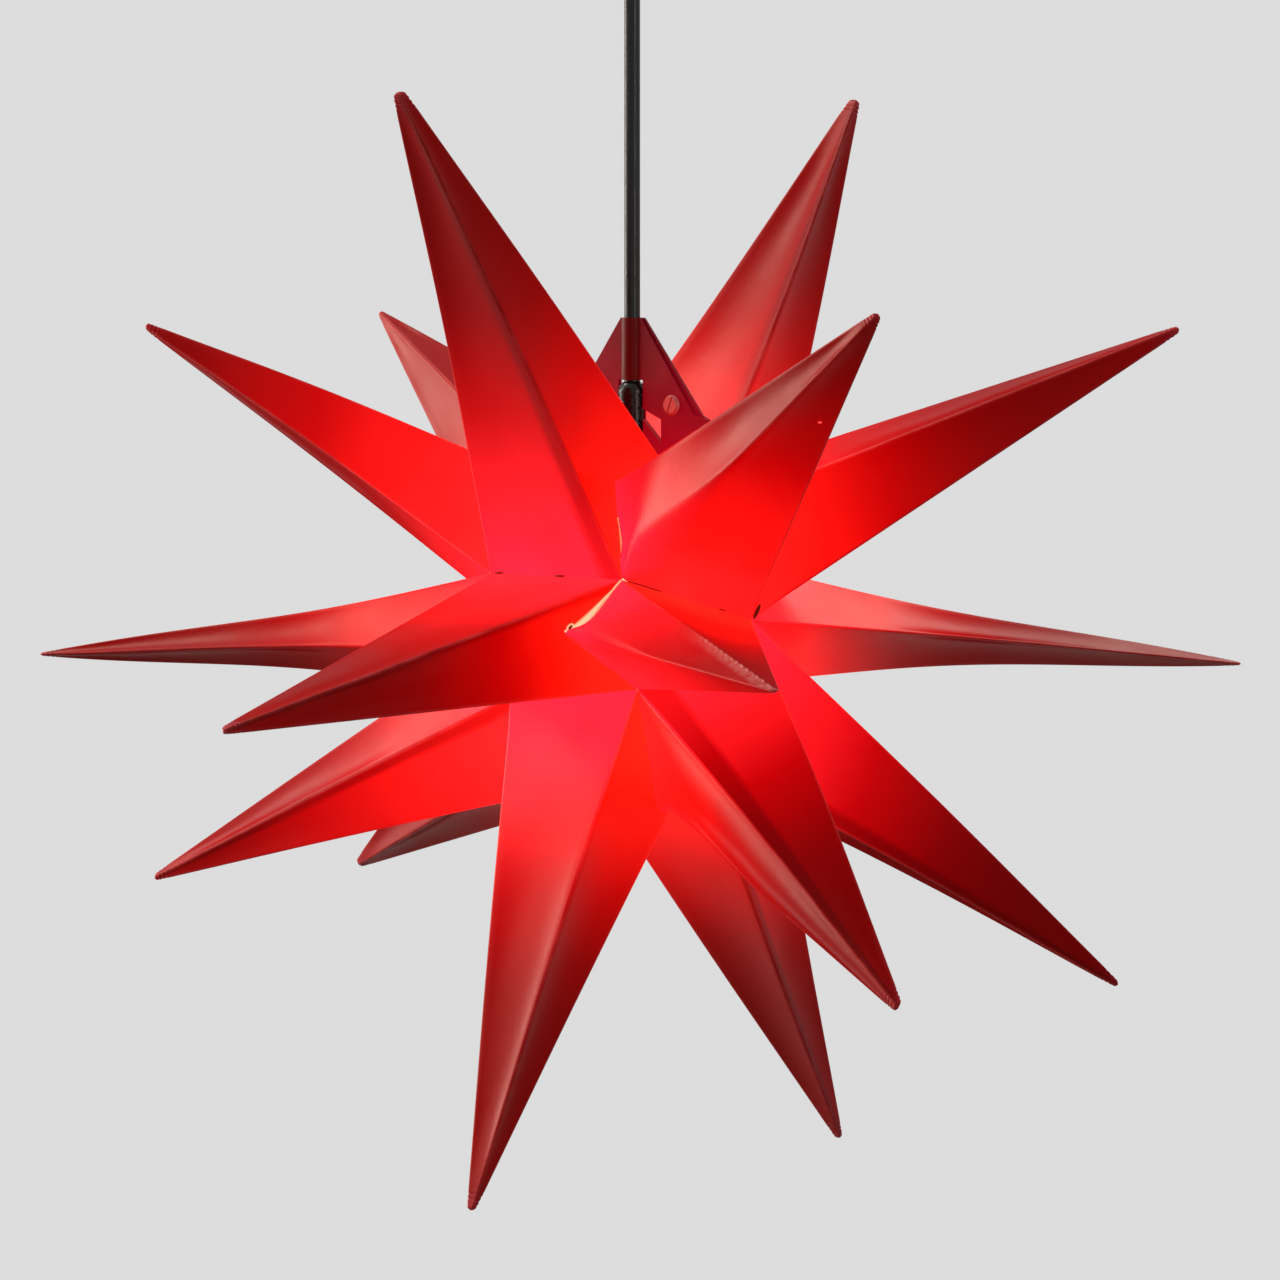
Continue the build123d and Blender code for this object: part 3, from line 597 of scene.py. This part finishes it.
class SheetMesh:
    """Points, faces and values of one piece of sheet"""

    KEYS = ("glow", "ridge", "flap", "out_share", "pink", "scuff")

    def __init__(self):
        self.points, self.faces, self.slots, self.smooth = [], [], [], []
        self.values = {key: [] for key in self.KEYS}

    def point(self, place, **values):
        """Adds a point with its values"""
        self.points.append(place)
        for key in self.KEYS:
            self.values[key].append(values.get(key, 0.0))
        return len(self.points) - 1

    def face(self, corners, slot, smooth=True):
        """Adds a face"""
        self.faces.append(tuple(corners))
        self.slots.append(slot)
        self.smooth.append(smooth)

    def strip(self, row, next_row, slot):
        """Closed strip of faces between two rows of as many points"""
        count = len(row)
        for i in range(count):
            j = (i + 1) % count
            self.face((row[i], row[j], next_row[j], next_row[i]), slot)

    def build(self, name):
        """Blender object of the sheet, with its faces turned outwards"""
        mesh = bpy.data.meshes.new(name)
        mesh.from_pydata(self.points, [], self.faces)
        for key, numbers in self.values.items():
            mesh.attributes.new(key, "FLOAT", "POINT").data.foreach_set("value", numbers)
        mesh.polygons.foreach_set("material_index", self.slots)
        mesh.polygons.foreach_set("use_smooth", self.smooth)
        turned = bmesh.new()
        turned.from_mesh(mesh)
        bmesh.ops.recalc_face_normals(turned, faces=turned.faces)
        turned.to_mesh(mesh)
        turned.free()
        return place_object(name, mesh)


def place_object(name, data):
    """Object with this data, in the scene"""
    piece = bpy.data.objects.new(name, data)
    bpy.context.collection.objects.link(piece)
    return piece


def add_row(sheet, spike, u, inset):
    """Points of one level of a spike, with the light that reaches them"""
    row = []
    for spot in ring_points(spike, u, inset):
        place = settle(spike, spot.place)
        row.append(sheet.point(
            place,
            glow=glow_at(place, -spot.inward, spot.reach),
            ridge=spot.ridge,
            flap=spot.flap,
            out_share=u,
            # Walls that face left get more of the pink light, painted as a cooler reflection on them
            pink=(0.5 + 0.5 * spot.inward.dot(RIGHT)) * spot.pink,
            scuff=spot.scuff,
        ))
    return row


def ellipse(heart, across, other, sides):
    """Points of an ellipse with these half axes"""
    turns = [2 * pi * side / sides for side in range(sides)]
    return [heart + across * cos(turn) + other * sin(turn) for turn in turns]


def add_bead(sheet, path, radius, slot, glow, closed=False):
    """Round bead along a path"""
    count = len(path)
    rings = []
    for i, place in enumerate(path):
        ahead = path[(i + 1) % count] if closed or i + 1 < count else place
        behind = path[i - 1] if closed or i > 0 else place
        run = (ahead - behind).normalized()
        across = run.orthogonal().normalized()
        if rings:
            across = (last_across - run * last_across.dot(run)).normalized()
        other = run.cross(across)
        last_across = across
        ring = ellipse(place, across * radius, other * radius, BEAD_SIDES)
        rings.append([sheet.point(spot, glow=glow) for spot in ring])
    for ring, next_ring in zip(rings, rings[1:]):
        sheet.strip(ring, next_ring, slot)
    if closed:
        sheet.strip(rings[-1], rings[0], slot)
    else:
        sheet.face(rings[0], slot, False)
        sheet.face(rings[-1], slot, False)


def add_lens(sheet, heart, along, across, length, width, height, slot, **values):
    """Low lens: its outline, and a middle on each side"""
    out = along.cross(across).normalized() * height
    ring = ellipse(heart, along * (length / 2), across * (width / 2), LENS_SIDES)
    rim = [sheet.point(spot, **values) for spot in ring]
    for top in (sheet.point(heart + out, **values), sheet.point(heart - out, **values)):
        for side in range(LENS_SIDES):
            sheet.face((rim[side], rim[(side + 1) % LENS_SIDES], top), slot)


def add_slit(sheet, spike, wall):
    """What shows where a root edge stands open: a strip painted as the lit sheet behind, darker along the
    edge as painted shadow, the edge's lip bright with painted light, its cut end
    """
    first, last = spike.corners[wall], spike.corners[(wall + 1) % 4]
    along = (last - first).normalized()
    out = (spike.corners[1] - spike.corners[2]).cross(spike.corners[3] - spike.corners[2]).normalized()
    out = pointing(out, spike.out)
    inward = pointing(out.cross(along).normalized(), spike.root - first)
    start, end, depth, brightness = spike.slits[wall]
    lip = []
    rows = []
    for i in range(SLIT_STEPS + 1):
        s = start + (end - start) * i / SLIT_STEPS
        edge = first.lerp(last, s) + out * SLIT_LAY
        sunk = slit_depth(spike, wall, s)
        row = []
        for j in range(SLIT_COLUMNS):
            share = j / (SLIT_COLUMNS - 1)
            # Darker next to the edge as painted shadow, brighter further in as painted light from inside
            lit = SLIT_DARK_SHARE + (1 - SLIT_DARK_SHARE) * smooth_share(0, SLIT_LIT_SHARE, share)
            row.append(sheet.point(edge + inward * (sunk * share), glow=brightness * lit))
        rows.append(row)
        lip.append(edge + inward * sunk)
    for row, next_row in zip(rows, rows[1:]):
        for j in range(SLIT_COLUMNS - 1):
            sheet.face((row[j], row[j + 1], next_row[j + 1], next_row[j]), INSIDE)
    add_bead(sheet, lip, depth * LIP_SHARE, EDGE, brightness)
    if depth > EYELET_LONG / 2:
        heart = first.lerp(last, EYELET_SHARE) + out * EYELET_RISE
        ring = ellipse(heart, along * (EYELET_LONG / 2), inward * (EYELET_SHORT / 2), LENS_SIDES)
        add_bead(sheet, ring, EYELET_BEAD, EDGE, brightness, closed=True)
        # The eyelet's dark middle is painted shade
        add_lens(sheet, heart, along, inward, EYELET_LONG, EYELET_SHORT, SLIT_LAY / 2, HOLE_SHADE)


def add_notches(sheet, spike):
    """Dark gaps of painted shadow along a ridge near its root"""
    for ridge, start, stop, width in spike.notches:
        low, high = spike.level(start)[ridge], spike.level(stop)[ridge]
        along = (high - low).normalized()
        heart = middle([low, high])
        off = (heart - middle(spike.level((start + stop) / 2))).normalized() * GAP_RISE
        add_lens(sheet, heart + off, along, along.cross(TOWARDS).normalized(), (high - low).length, width,
                 GAP_RISE / 2, HOLE_SHADE)


def add_specks(sheet, spike):
    """Small pale spots on the walls, painted highlights that glow a little"""
    for wall, out_share, across_share, size in spike.specks:
        places = spike.level(out_share)
        start, end = places[wall], places[(wall + 1) % 4]
        inward = spike.wall_inward(start, end, middle(places))
        along = (end - start).normalized()
        add_lens(sheet, start.lerp(end, across_share) - inward * SPECK_LAY, along, along.cross(inward),
                 size * 2, size * 2, SPECK_LAY, OUTSIDE, glow=SPECK_GLOW, scuff=SPECK_SHEEN,
                 out_share=out_share, ridge=1.0)


def add_flange(sheet, spike, start, end, inward, side):
    """Strip of the sheet turned in along a seam, with its thickness on the spike's own side"""
    corners = [start, end, end + inward * FLANGE_DEPTH, start + inward * FLANGE_DEPTH]
    faces = []
    for share in FLANGE_FACE_SHARES:
        moved = [settle(spike, corner + side * (WALL * share)) for corner in corners]
        faces.append([sheet.point(place, glow=1.0) for place in moved])
    sheet.face(faces[0], INSIDE, False)
    sheet.face(faces[1], INSIDE, False)
    for i in range(4):
        j = (i + 1) % 4
        sheet.face((faces[0][i], faces[0][j], faces[1][j], faces[1][i]), INSIDE, False)


def add_flanges(sheet, spike, k):
    """The two flanges of a spike, one along each of its seams"""
    row = spike.name.split("_")[0]
    for turn, side_sign in ((k - 0.5, 1), (k + 0.5, -1)):
        outward, across = seam_directions(turn)
        if row == "middle":
            start, stop, inward = seam_point(turn, -1), seam_point(turn, 1), -outward
        else:
            start, pole, inward = side_seam(turn, ENDS[row])
            stop = start.lerp(pole, FLANGE_STOP_SHARE)
        add_flange(sheet, spike, start, stop, inward, across * side_sign)


def build_spike(spike, k):
    """Sheet of one spike: outer and inner surface, joined at the open root and closed at the tip"""
    sheet = SheetMesh()
    outer = [add_row(sheet, spike, u, 0) for u in outer_rows(spike)]
    plug_share = 1 - TIP_PLUG / spike.length
    inner = [add_row(sheet, spike, u, WALL) for u in even_rows(INNER_ROWS, 0, plug_share)]
    for slot, rows in ((OUTSIDE, outer), (INSIDE, inner)):
        for row, next_row in zip(rows, rows[1:]):
            sheet.strip(row, next_row, slot)
        sheet.face(rows[-1], slot, False)
    sheet.strip(outer[0], inner[0], OUTSIDE)
    add_flanges(sheet, spike, k)
    for wall in spike.slits:
        add_slit(sheet, spike, wall)
    add_notches(sheet, spike)
    add_specks(sheet, spike)
    return sheet.build(f"{spike.name}_sheet")


def build_seam_gaps():
    """Dark lenses of painted shade, with a dim red glow, where folded edges don't quite meet along a seam"""
    sheet = SheetMesh()
    for turn, end, start, stop, width in SEAM_GAPS:
        first, last = (seam_point(turn, -1), seam_point(turn, 1)) if end == 0 else (
            seam_point(turn, end), pole_point(end))
        across = seam_directions(turn)[1]
        along = (last - first).normalized()
        heart = first.lerp(last, (start + stop) / 2)
        out = pointing(across.cross(along).normalized(), heart - CENTRE)
        length = (last - first).length * (stop - start)
        add_lens(sheet, heart + out * GAP_RISE, along, across, length, width, GAP_RISE / 2, 0)
    piece = sheet.build("seam_gaps")
    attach(piece, "shell")
    return piece


def build_studs():
    """Snap studs in the flanges, seated on the seams as they run"""
    stud_mesh = bpy.data.meshes.new("seam_studs_set")
    work = bmesh.new()
    for k in range(SPIKES_ROUND):
        turn = k + 0.5
        outward, axis = seam_directions(turn)
        places = []
        if turn != HANGER_SEAM:
            places.append(middle([seam_point(turn, -1), seam_point(turn, 1)]) - outward * STUD_DROP)
        for end in (1, -1):
            corner, pole, inward = side_seam(turn, end)
            places.append(middle([corner, pole]) + inward * STUD_DROP)
        for place in places:
            add_stud(work, place, axis)
    work.to_mesh(stud_mesh)
    work.free()
    stud_mesh.polygons.foreach_set("use_smooth", [True] * len(stud_mesh.polygons))
    piece = place_object("seam_studs_set", stud_mesh)
    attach(piece, "shell")
    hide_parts("seam_studs")
    return piece


def add_stud(work, place, axis):
    """One stud turned about its axis: a rounded head, a shank and another head"""
    half = WALL + STUD_HEAD_HEIGHT
    edge = STUD_HEAD_HEIGHT * STUD_EDGE_SHARE
    right = [(0, half), (STUD_HEAD_RADIUS - edge, half), (STUD_HEAD_RADIUS, half - edge),
             (STUD_HEAD_RADIUS, WALL), (STUD_RADIUS, WALL)]
    profile = right + [(radius, -along) for radius, along in reversed(right)]
    across = axis.orthogonal().normalized()
    other = axis.cross(across)
    rings = []
    for radius, along in profile:
        heart = place + axis * along
        if radius == 0:
            rings.append([work.verts.new(heart)])
            continue
        ring = ellipse(heart, across * radius, other * radius, STUD_SIDES)
        rings.append([work.verts.new(spot) for spot in ring])
    for ring, next_ring in zip(rings, rings[1:]):
        for i in range(STUD_SIDES):
            j = (i + 1) % STUD_SIDES
            if len(ring) == 1:
                work.faces.new((ring[0], next_ring[j], next_ring[i]))
            elif len(next_ring) == 1:
                work.faces.new((ring[i], ring[j], next_ring[0]))
            else:
                work.faces.new((ring[i], ring[j], next_ring[j], next_ring[i]))


def new_material(name):
    """Empty node material with a Principled shader; gives its nodes, links and shader"""
    material = bpy.data.materials.new(name)
    material.use_nodes = True
    nodes, links = material.node_tree.nodes, material.node_tree.links
    shader = nodes["Principled BSDF"]
    return material, nodes, links, shader


def object_coordinates(nodes):
    """Place on the object itself"""
    node = nodes.get("Texture Coordinate") or nodes.new("ShaderNodeTexCoord")
    return node.outputs["Object"]


def fill(links, socket, value):
    """Links a socket to another, or gives it a number or a colour"""
    if isinstance(value, bpy.types.NodeSocket):
        links.new(value, socket)
    else:
        socket.default_value = (*value, 1) if isinstance(value, tuple) else value


def set_inputs(links, node, **values):
    """Fills a node's own sockets, whose names have _ for a space here"""
    for name, value in values.items():
        fill(links, node.inputs[name.replace("_", " ")], value)


def noise_between(nodes, links, scale, low, high, detail=3):
    """Noise spread between two values"""
    texture = nodes.new("ShaderNodeTexNoise")
    set_inputs(links, texture, Vector=object_coordinates(nodes), Scale=scale, Detail=detail)
    spread = nodes.new("ShaderNodeMapRange")
    least, most = NOISE_ENDS
    set_inputs(links, spread, Value=texture.outputs["Fac"], From_Min=least, From_Max=most, To_Min=low,
               To_Max=high)
    return spread.outputs["Result"]


def between(nodes, links, value, low, high, first, last):
    """first up to a low value, last from a high one, with an even curve between"""
    node = nodes.new("ShaderNodeMapRange")
    node.interpolation_type = "SMOOTHSTEP"
    set_inputs(links, node, Value=value, From_Min=low, From_Max=high, To_Min=first, To_Max=last)
    return node.outputs["Result"]


def maths(nodes, links, operation, *values):
    """One sum on up to three values, each a socket or a number"""
    node = nodes.new("ShaderNodeMath")
    node.operation = operation
    for socket, value in zip(node.inputs, values):
        fill(links, socket, value)
    return node.outputs["Value"]


def ramp(nodes, links, factor, stops):
    """Colour ramp with (place, colour) stops"""
    node = nodes.new("ShaderNodeValToRGB")
    elements = node.color_ramp.elements
    while len(elements) < len(stops):
        elements.new(0.5)
    for element, (place, colour) in zip(elements, stops):
        element.position = place
        element.color = (*colour, 1)
    links.new(factor, node.inputs["Fac"])
    return node.outputs["Color"]


def mix_colours(nodes, links, factor, first, second):
    """Blend of two colours by a factor"""
    node = nodes.new("ShaderNodeMix")
    node.data_type = "RGBA"
    for key, value in ((MIX_FACTOR, factor), (MIX_FIRST, first), (MIX_SECOND, second)):
        fill(links, node.inputs[key], value)
    return node.outputs[MIX_RESULT]


def attribute(nodes, key):
    """Value kept on the mesh under a name"""
    node = nodes.new("ShaderNodeAttribute")
    node.attribute_name = key
    return node.outputs["Fac"]


def add_bump(nodes, links, shader, height, strength, distance):
    """Bump from a height"""
    node = nodes.new("ShaderNodeBump")
    set_inputs(links, node, Strength=strength, Distance=distance, Height=height)
    set_inputs(links, shader, Normal=node.outputs["Normal"])


def sheet_material():
    """Translucent red sheet, lit through by the lamp behind it"""
    material, nodes, links, shader = new_material("red_sheet_lit")
    flap = attribute(nodes, "flap")
    mottle = noise_between(nodes, links, *LIGHT_MOTTLE)
    mottled = maths(nodes, links, "MULTIPLY", attribute(nodes, "glow"), mottle)
    # The glued overlap lets less light through: painted shade on the glow
    darker = maths(nodes, links, "MULTIPLY_ADD", flap, -FLAP_DIMMING, 1.0)
    lit = maths(nodes, links, "MULTIPLY", mottled, darker)
    orange = ramp(nodes, links, lit, [
        (0.0, (0.0, 0.0, 0.0)),
        (0.1, (0.08, 0.0, 0.0)),
        (0.35, (0.36, 0.0, 0.0)),
        (0.65, (0.8, 0.004, 0.0005)),
        (1.0, (1.0, 0.016, 0.005)),
    ])
    # Pink light painted on walls that face left, standing in for a cooler reflection there
    pink = ramp(nodes, links, lit, [
        (0.0, (0.0, 0.0, 0.0)),
        (0.1, (0.08, 0.0, 0.001)),
        (0.35, (0.36, 0.001, 0.003)),
        (0.65, (0.8, 0.01, 0.02)),
        (1.0, (1.0, 0.022, 0.07)),
    ])
    painted_pinkness = maths(nodes, links, "POWER", attribute(nodes, "pink"), PAINTED_PINK_CURVE)
    light = mix_colours(nodes, links, painted_pinkness, orange, pink)
    body = ramp(nodes, links, attribute(nodes, "out_share"), [
        (0.0, (0.2, 0.001, 0.002)),
        (0.45, (0.34, 0.001, 0.002)),
        (0.93, (0.4, 0.002, 0.003)),
        (0.975, (0.36, 0.006, 0.012)),
        (1.0, (0.5, 0.03, 0.04)),
    ])
    # The glued overlap's darker band in the base colour is painted shade
    shade = maths(nodes, links, "MULTIPLY", flap, FLAP_SHADE)
    shaded = mix_colours(nodes, links, shade, body, (0.12, 0.0, 0.002))
    # A pale line painted along each ridge as a highlight, broken up by scuffs
    ridge_highlight_line = between(nodes, links, attribute(nodes, "ridge"), *RIDGE_HIGHLIGHT_LINE, 1.0, 0.0)
    ridge_highlight = maths(nodes, links, "MULTIPLY", ridge_highlight_line, noise_between(nodes, links, *RIDGE_HIGHLIGHT_SCUFFS))
    base = mix_colours(nodes, links, ridge_highlight, shaded, (0.6, 0.06, 0.06))
    # Paler where the mesh says so: painted sheen and rubbing beside the torn ridge and on its teeth, and the
    # specks' painted highlights
    sheen_and_wear_noise = noise_between(nodes, links, *TORN_SHEEN_SCUFFS)
    torn = maths(nodes, links, "MULTIPLY", attribute(nodes, "scuff"), sheen_and_wear_noise)
    torn.node.use_clamp = True
    slant = nodes.new("ShaderNodeLayerWeight")
    rougher = between(nodes, links, slant.outputs["Facing"], *SLANT_ROUGHER)
    rough = maths(nodes, links, "ADD", noise_between(nodes, links, *SHEET_ROUGH), rougher)
    set_inputs(links, shader, Base_Color=mix_colours(nodes, links, torn, base, (0.85, 0.5, 0.46)),
               Roughness=rough, Emission_Color=light, Emission_Strength=1.25, IOR=1.45,
               Specular_IOR_Level=0.13, Specular_Tint=(1.0, 0.5, 0.4))
    add_bump(nodes, links, shader, noise_between(nodes, links, *SHEET_FINE), *SHEET_GRAIN)
    return material


def edge_material():
    """Cut edge of the sheet at an open root, which the lamp shines along"""
    material, nodes, links, shader = new_material("red_sheet_edge")
    tone = noise_between(nodes, links, *EDGE_TONE)
    light = ramp(nodes, links, maths(nodes, links, "MULTIPLY", tone, attribute(nodes, "glow")), [
        (0.0, (0.3, 0.0, 0.0)),
        (0.4, (0.9, 0.1, 0.05)),
        (0.65, (1.0, 0.36, 0.16)),
        (1.0, (1.0, 0.7, 0.44)),
    ])
    set_inputs(links, shader, Base_Color=(0.3, 0.02, 0.01), Emission_Color=light, Emission_Strength=0.9,
               Roughness=noise_between(nodes, links, *EDGE_ROUGH))
    return material


def inside_material():
    """Inner face of the sheet, bright where the lamp is close"""
    material, nodes, links, shader = new_material("red_sheet_inside")
    light = ramp(nodes, links, attribute(nodes, "glow"), [
        (0.0, (0.02, 0.0, 0.0)),
        (0.4, (0.5, 0.01, 0.0)),
        (0.75, (1.0, 0.3, 0.12)),
        (1.0, (1.0, 0.62, 0.36)),
    ])
    set_inputs(links, shader, Base_Color=(0.3, 0.01, 0.01), Roughness=0.5, Emission_Color=light,
               Emission_Strength=1.0)
    return material


def plain_material(name, colour, roughness, metallic=0.0, emission=None, level=0.5):
    """Moulded or metal finish with its own mottle and grain"""
    material, nodes, links, shader = new_material(name)
    darker = tuple(part * PLAIN_DARKER for part in colour)
    tone = noise_between(nodes, links, *PLAIN_TONE)
    ends = (roughness - PLAIN_ROUGH_SPREAD, roughness + PLAIN_ROUGH_SPREAD)
    rough = noise_between(nodes, links, PLAIN_ROUGH_SCALE, *ends)
    set_inputs(links, shader, Base_Color=mix_colours(nodes, links, tone, darker, colour), Roughness=rough,
               Metallic=metallic, Specular_IOR_Level=level)
    if emission:
        set_inputs(links, shader, Emission_Color=emission, Emission_Strength=1.0)
    add_bump(nodes, links, shader, noise_between(nodes, links, *PLAIN_FINE), *PLAIN_GRAIN)
    return material


def plate_material():
    """Clear red plate, lit from below by the star, with the cable's shade painted into its channel"""
    material, nodes, links, shader = new_material("red_plate_finish")
    place = nodes.new("ShaderNodeSeparateXYZ")
    set_inputs(links, place, Vector=object_coordinates(nodes))
    low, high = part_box("hanger_front_plate")
    lit = between(nodes, links, place.outputs["Z"], low.z, high.z, 1.0, 0.0)
    light = mix_colours(nodes, links, lit, (0.02, 0.0, 0.001), (0.3, 0.0, 0.008))
    # The channel is darker in colour and glow: painted shade of the cable lying in it
    off_cable = maths(nodes, links, "ABSOLUTE", place.outputs["X"])
    flat = between(nodes, links, off_cable, *CHANNEL_EDGES, 0.0, 1.0)
    glow = mix_colours(nodes, links, flat, (0.015, 0.0, 0.0), light)
    tone = noise_between(nodes, links, *PLATE_TONE)
    body = mix_colours(nodes, links, tone, (0.15, 0.003, 0.01), (0.23, 0.006, 0.02))
    base = mix_colours(nodes, links, flat, (0.09, 0.001, 0.001), body)
    rough = noise_between(nodes, links, *PLATE_ROUGH)
    rougher = maths(nodes, links, "MULTIPLY_ADD", flat, -CHANNEL_ROUGHER, CHANNEL_ROUGHER)
    set_inputs(links, shader, Base_Color=base, Roughness=maths(nodes, links, "ADD", rough, rougher),
               Emission_Color=glow, Emission_Strength=1.0, Specular_IOR_Level=0.22,
               Specular_Tint=(1.0, 0.55, 0.5))
    add_bump(nodes, links, shader, noise_between(nodes, links, *PLATE_FINE), *PLATE_GRAIN)
    return material


def dress_frame():
    """Finishes of the pieces that keep the frame's own shape"""
    plate = plate_material()
    stud = plain_material("red_stud_finish", (0.66, 0.15, 0.14), 0.32, level=0.3)
    finishes = [
        (plate, ["hanger_front_plate", "hanger_rear_plate"]),
        (stud, ["hanger_rivets"]),
        (plain_material("black_rubber_finish", (0.004, 0.004, 0.0045), 0.24, level=0.3),
         ["strain_relief", "mouth_seal", "grip_seal_sleeve"]),
        (plain_material("black_plastic_finish", (0.01, 0.01, 0.011), 0.4),
         ["holder_cap", "holder_body", "suspension_grip", "grip_nut"]),
        (plain_material("brass_finish", (0.75, 0.55, 0.24), 0.3, metallic=1.0),
         ["socket_sleeve", "socket_tongue"]),
        (plain_material("nickel_finish", (0.66, 0.64, 0.6), 0.25, metallic=1.0),
         ["lamp_screw_cap", "lamp_pip"]),
        (plain_material("black_glass_finish", (0.02, 0.02, 0.02), 0.1), ["lamp_insulator"]),
        (plain_material("white_plastic_finish", (0.8, 0.79, 0.76), 0.4), ["lamp_housing"]),
        (plain_material("white_board_finish", (0.7, 0.72, 0.7), 0.45), ["led_board"]),
        (plain_material("light_chip_finish", (0.9, 0.75, 0.3), 0.3, emission=(1.0, 0.8, 0.4)),
         ["led_chips"]),
        (plain_material("frosted_globe_finish", (0.85, 0.83, 0.78), 0.35, emission=(1.0, 0.82, 0.55)),
         ["lamp_globe"]),
    ]
    for material, nodes in finishes:
        for node in nodes:
            slots = frame["nodes"][node].data.materials
            slots.clear()
            slots.append(material)
    build_studs().data.materials.append(stud)
    # Painted shade with a dim red glow for the gaps along the seams
    gap = plain_material("seam_gap_finish", (0.05, 0.001, 0.002), 0.6, emission=(0.32, 0.004, 0.005),
                         level=0.1)
    build_seam_gaps().data.materials.append(gap)


def build_star():
    """All eighteen spikes"""
    # Dark finish with a dim red glow: painted shade in holes and gaps
    hole_shade = plain_material("cut_hole_finish", (0.05, 0.002, 0.002), 0.6, emission=(0.1, 0.003, 0.001),
                          level=0.1)
    finishes = [sheet_material(), inside_material(), edge_material(), hole_shade]
    for k in range(SPIKES_ROUND):
        for order, row in enumerate(("middle", "front", "rear")):
            name = f"{row}_{round(STEP * k):03d}"
            corners = middle_root(k) if row == "middle" else side_root(k, ENDS[row], name)
            spike = Spike(name, corners, k * 3 + order + 1)
            piece = build_spike(spike, k)
            for finish in finishes:
                piece.data.materials.append(finish)
            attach(piece, "shell")
            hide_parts(spike.node)


def build_cable():
    """Cable, pulled straight from the strain relief to the grip"""
    low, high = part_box("cable")
    radius = (high.x - low.x) / 2
    curve = bpy.data.curves.new("cable_run", "CURVE")
    curve.dimensions = "3D"
    curve.bevel_depth = radius
    curve.bevel_resolution = 8
    curve.resolution_u = 16
    curve.use_fill_caps = True
    line = curve.splines.new("NURBS")
    heights = [low.z, low.z + CABLE_END_RUN, (low.z + high.z) / 2, high.z - CABLE_END_RUN, high.z]
    line.points.add(len(heights) - 1)
    for point, height in zip(line.points, heights):
        point.co = (0, 0, height, 1)
    line.order_u = 3
    line.use_endpoint_u = True
    piece = place_object("cable_run", curve)
    curve.materials.append(plain_material("cable_rubber_finish", (0.006, 0.0065, 0.007), 0.34, level=0.28))
    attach(piece, "root")
    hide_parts("cable")


def show_background(nodes, links, share, lit, seen, output):
    """Shows the plain background in place of what is lit, by a share"""
    set_inputs(links, seen, Color=(BACKGROUND,) * 3)
    choice = nodes.new("ShaderNodeMixShader")
    for socket, value in zip(choice.inputs, (share, lit.outputs[0], seen.outputs[0])):
        links.new(value, socket)
    set_inputs(links, output, Surface=choice.outputs[0])


def floor_material():
    """Pale floor that keeps the object's shadow and fades into the background round it"""
    material, nodes, links, shader = new_material("floor_finish")
    colour = mix_colours(nodes, links, seen_by_eye(nodes, links), (FLOOR_BOUNCE,) * 3, (BACKGROUND,) * 3)
    set_inputs(links, shader, Base_Color=colour, Roughness=0.9, Specular_IOR_Level=0.0)
    off = nodes.new("ShaderNodeVectorMath")
    off.operation = "LENGTH"
    links.new(object_coordinates(nodes), off.inputs[0])
    far = between(nodes, links, off.outputs["Value"], *FLOOR_FADE, 0.0, 1.0)
    share = maths(nodes, links, "MULTIPLY", far, seen_by_eye(nodes, links))
    show_background(nodes, links, share, shader, nodes.new("ShaderNodeEmission"), nodes["Material Output"])
    return material


def seen_by_eye(nodes, links):
    """1 on rays that show the background: straight, mirrored or through glass"""
    path = nodes.new("ShaderNodeLightPath")
    camera, gloss = path.outputs["Is Camera Ray"], path.outputs["Is Glossy Ray"]
    camera_or_gloss = maths(nodes, links, "MAXIMUM", camera, gloss)
    return maths(nodes, links, "MAXIMUM", camera_or_gloss, path.outputs["Is Transmission Ray"])


def build_stage():
    """Pale floor, pale surroundings and soft lamps"""
    world = bpy.data.worlds.new("surroundings")
    bpy.context.scene.world = world
    world.use_nodes = True
    nodes, links = world.node_tree.nodes, world.node_tree.links
    lighting = nodes["Background"]
    set_inputs(links, lighting, Color=WORLD_COLOUR, Strength=WORLD_LIGHT)
    seen = nodes.new("ShaderNodeBackground")
    show_background(nodes, links, seen_by_eye(nodes, links), lighting, seen, nodes["World Output"])
    mesh = bpy.data.meshes.new("floor")
    corners = [(x * FLOOR_HALF, y * FLOOR_HALF, CENTRE.z - FLOOR_DROP)
               for x, y in ((-1, -1), (1, -1), (1, 1), (-1, 1))]
    mesh.from_pydata(corners, [], [(0, 1, 2, 3)])
    floor = place_object("floor", mesh)
    mesh.materials.append(floor_material())
    for lamp in LAMPS:
        build_lamp(*lamp)


def build_lamp(name, start, end, width, power):
    """Long soft lamp from one end to the other, turned to the star"""
    start, end = (CENTRE + in_picture(*place[:2]) + TOWARDS * place[2] for place in (start, end))
    light = bpy.data.lights.new(name, "AREA")
    light.shape = "RECTANGLE"
    light.size = (end - start).length
    light.size_y = width
    light.energy = power
    light.color = LAMP_COLOUR
    back = (middle([start, end]) - CENTRE).normalized()
    across = back.cross(end - start).normalized()
    turn = Matrix((across.cross(back), across, back)).transposed().to_4x4()
    place_object(name, light).matrix_world = Matrix.Translation(middle([start, end])) @ turn


def build_camera():
    """Camera at the photograph's angle"""
    data = bpy.data.cameras.new("camera")
    data.lens = CAMERA_LENS
    data.sensor_width = SENSOR
    data.shift_x = (PICTURE_SIZE / 2 - STAR_IN_PICTURE[0]) / PICTURE_SIZE
    data.shift_y = (STAR_IN_PICTURE[1] - PICTURE_SIZE / 2) / PICTURE_SIZE
    data.clip_start = 0.05
    data.clip_end = 50
    camera = place_object("camera", data)
    place = CENTRE + TOWARDS * CAMERA_DISTANCE
    turn = Matrix((RIGHT, UP, TOWARDS)).transposed().to_4x4()
    camera.matrix_world = Matrix.Translation(place) @ turn
    bpy.context.scene.camera = camera


build_camera()
build_cable()
build_star()
dress_frame()
build_stage()
bpy.context.scene.view_settings.view_transform = "Standard"
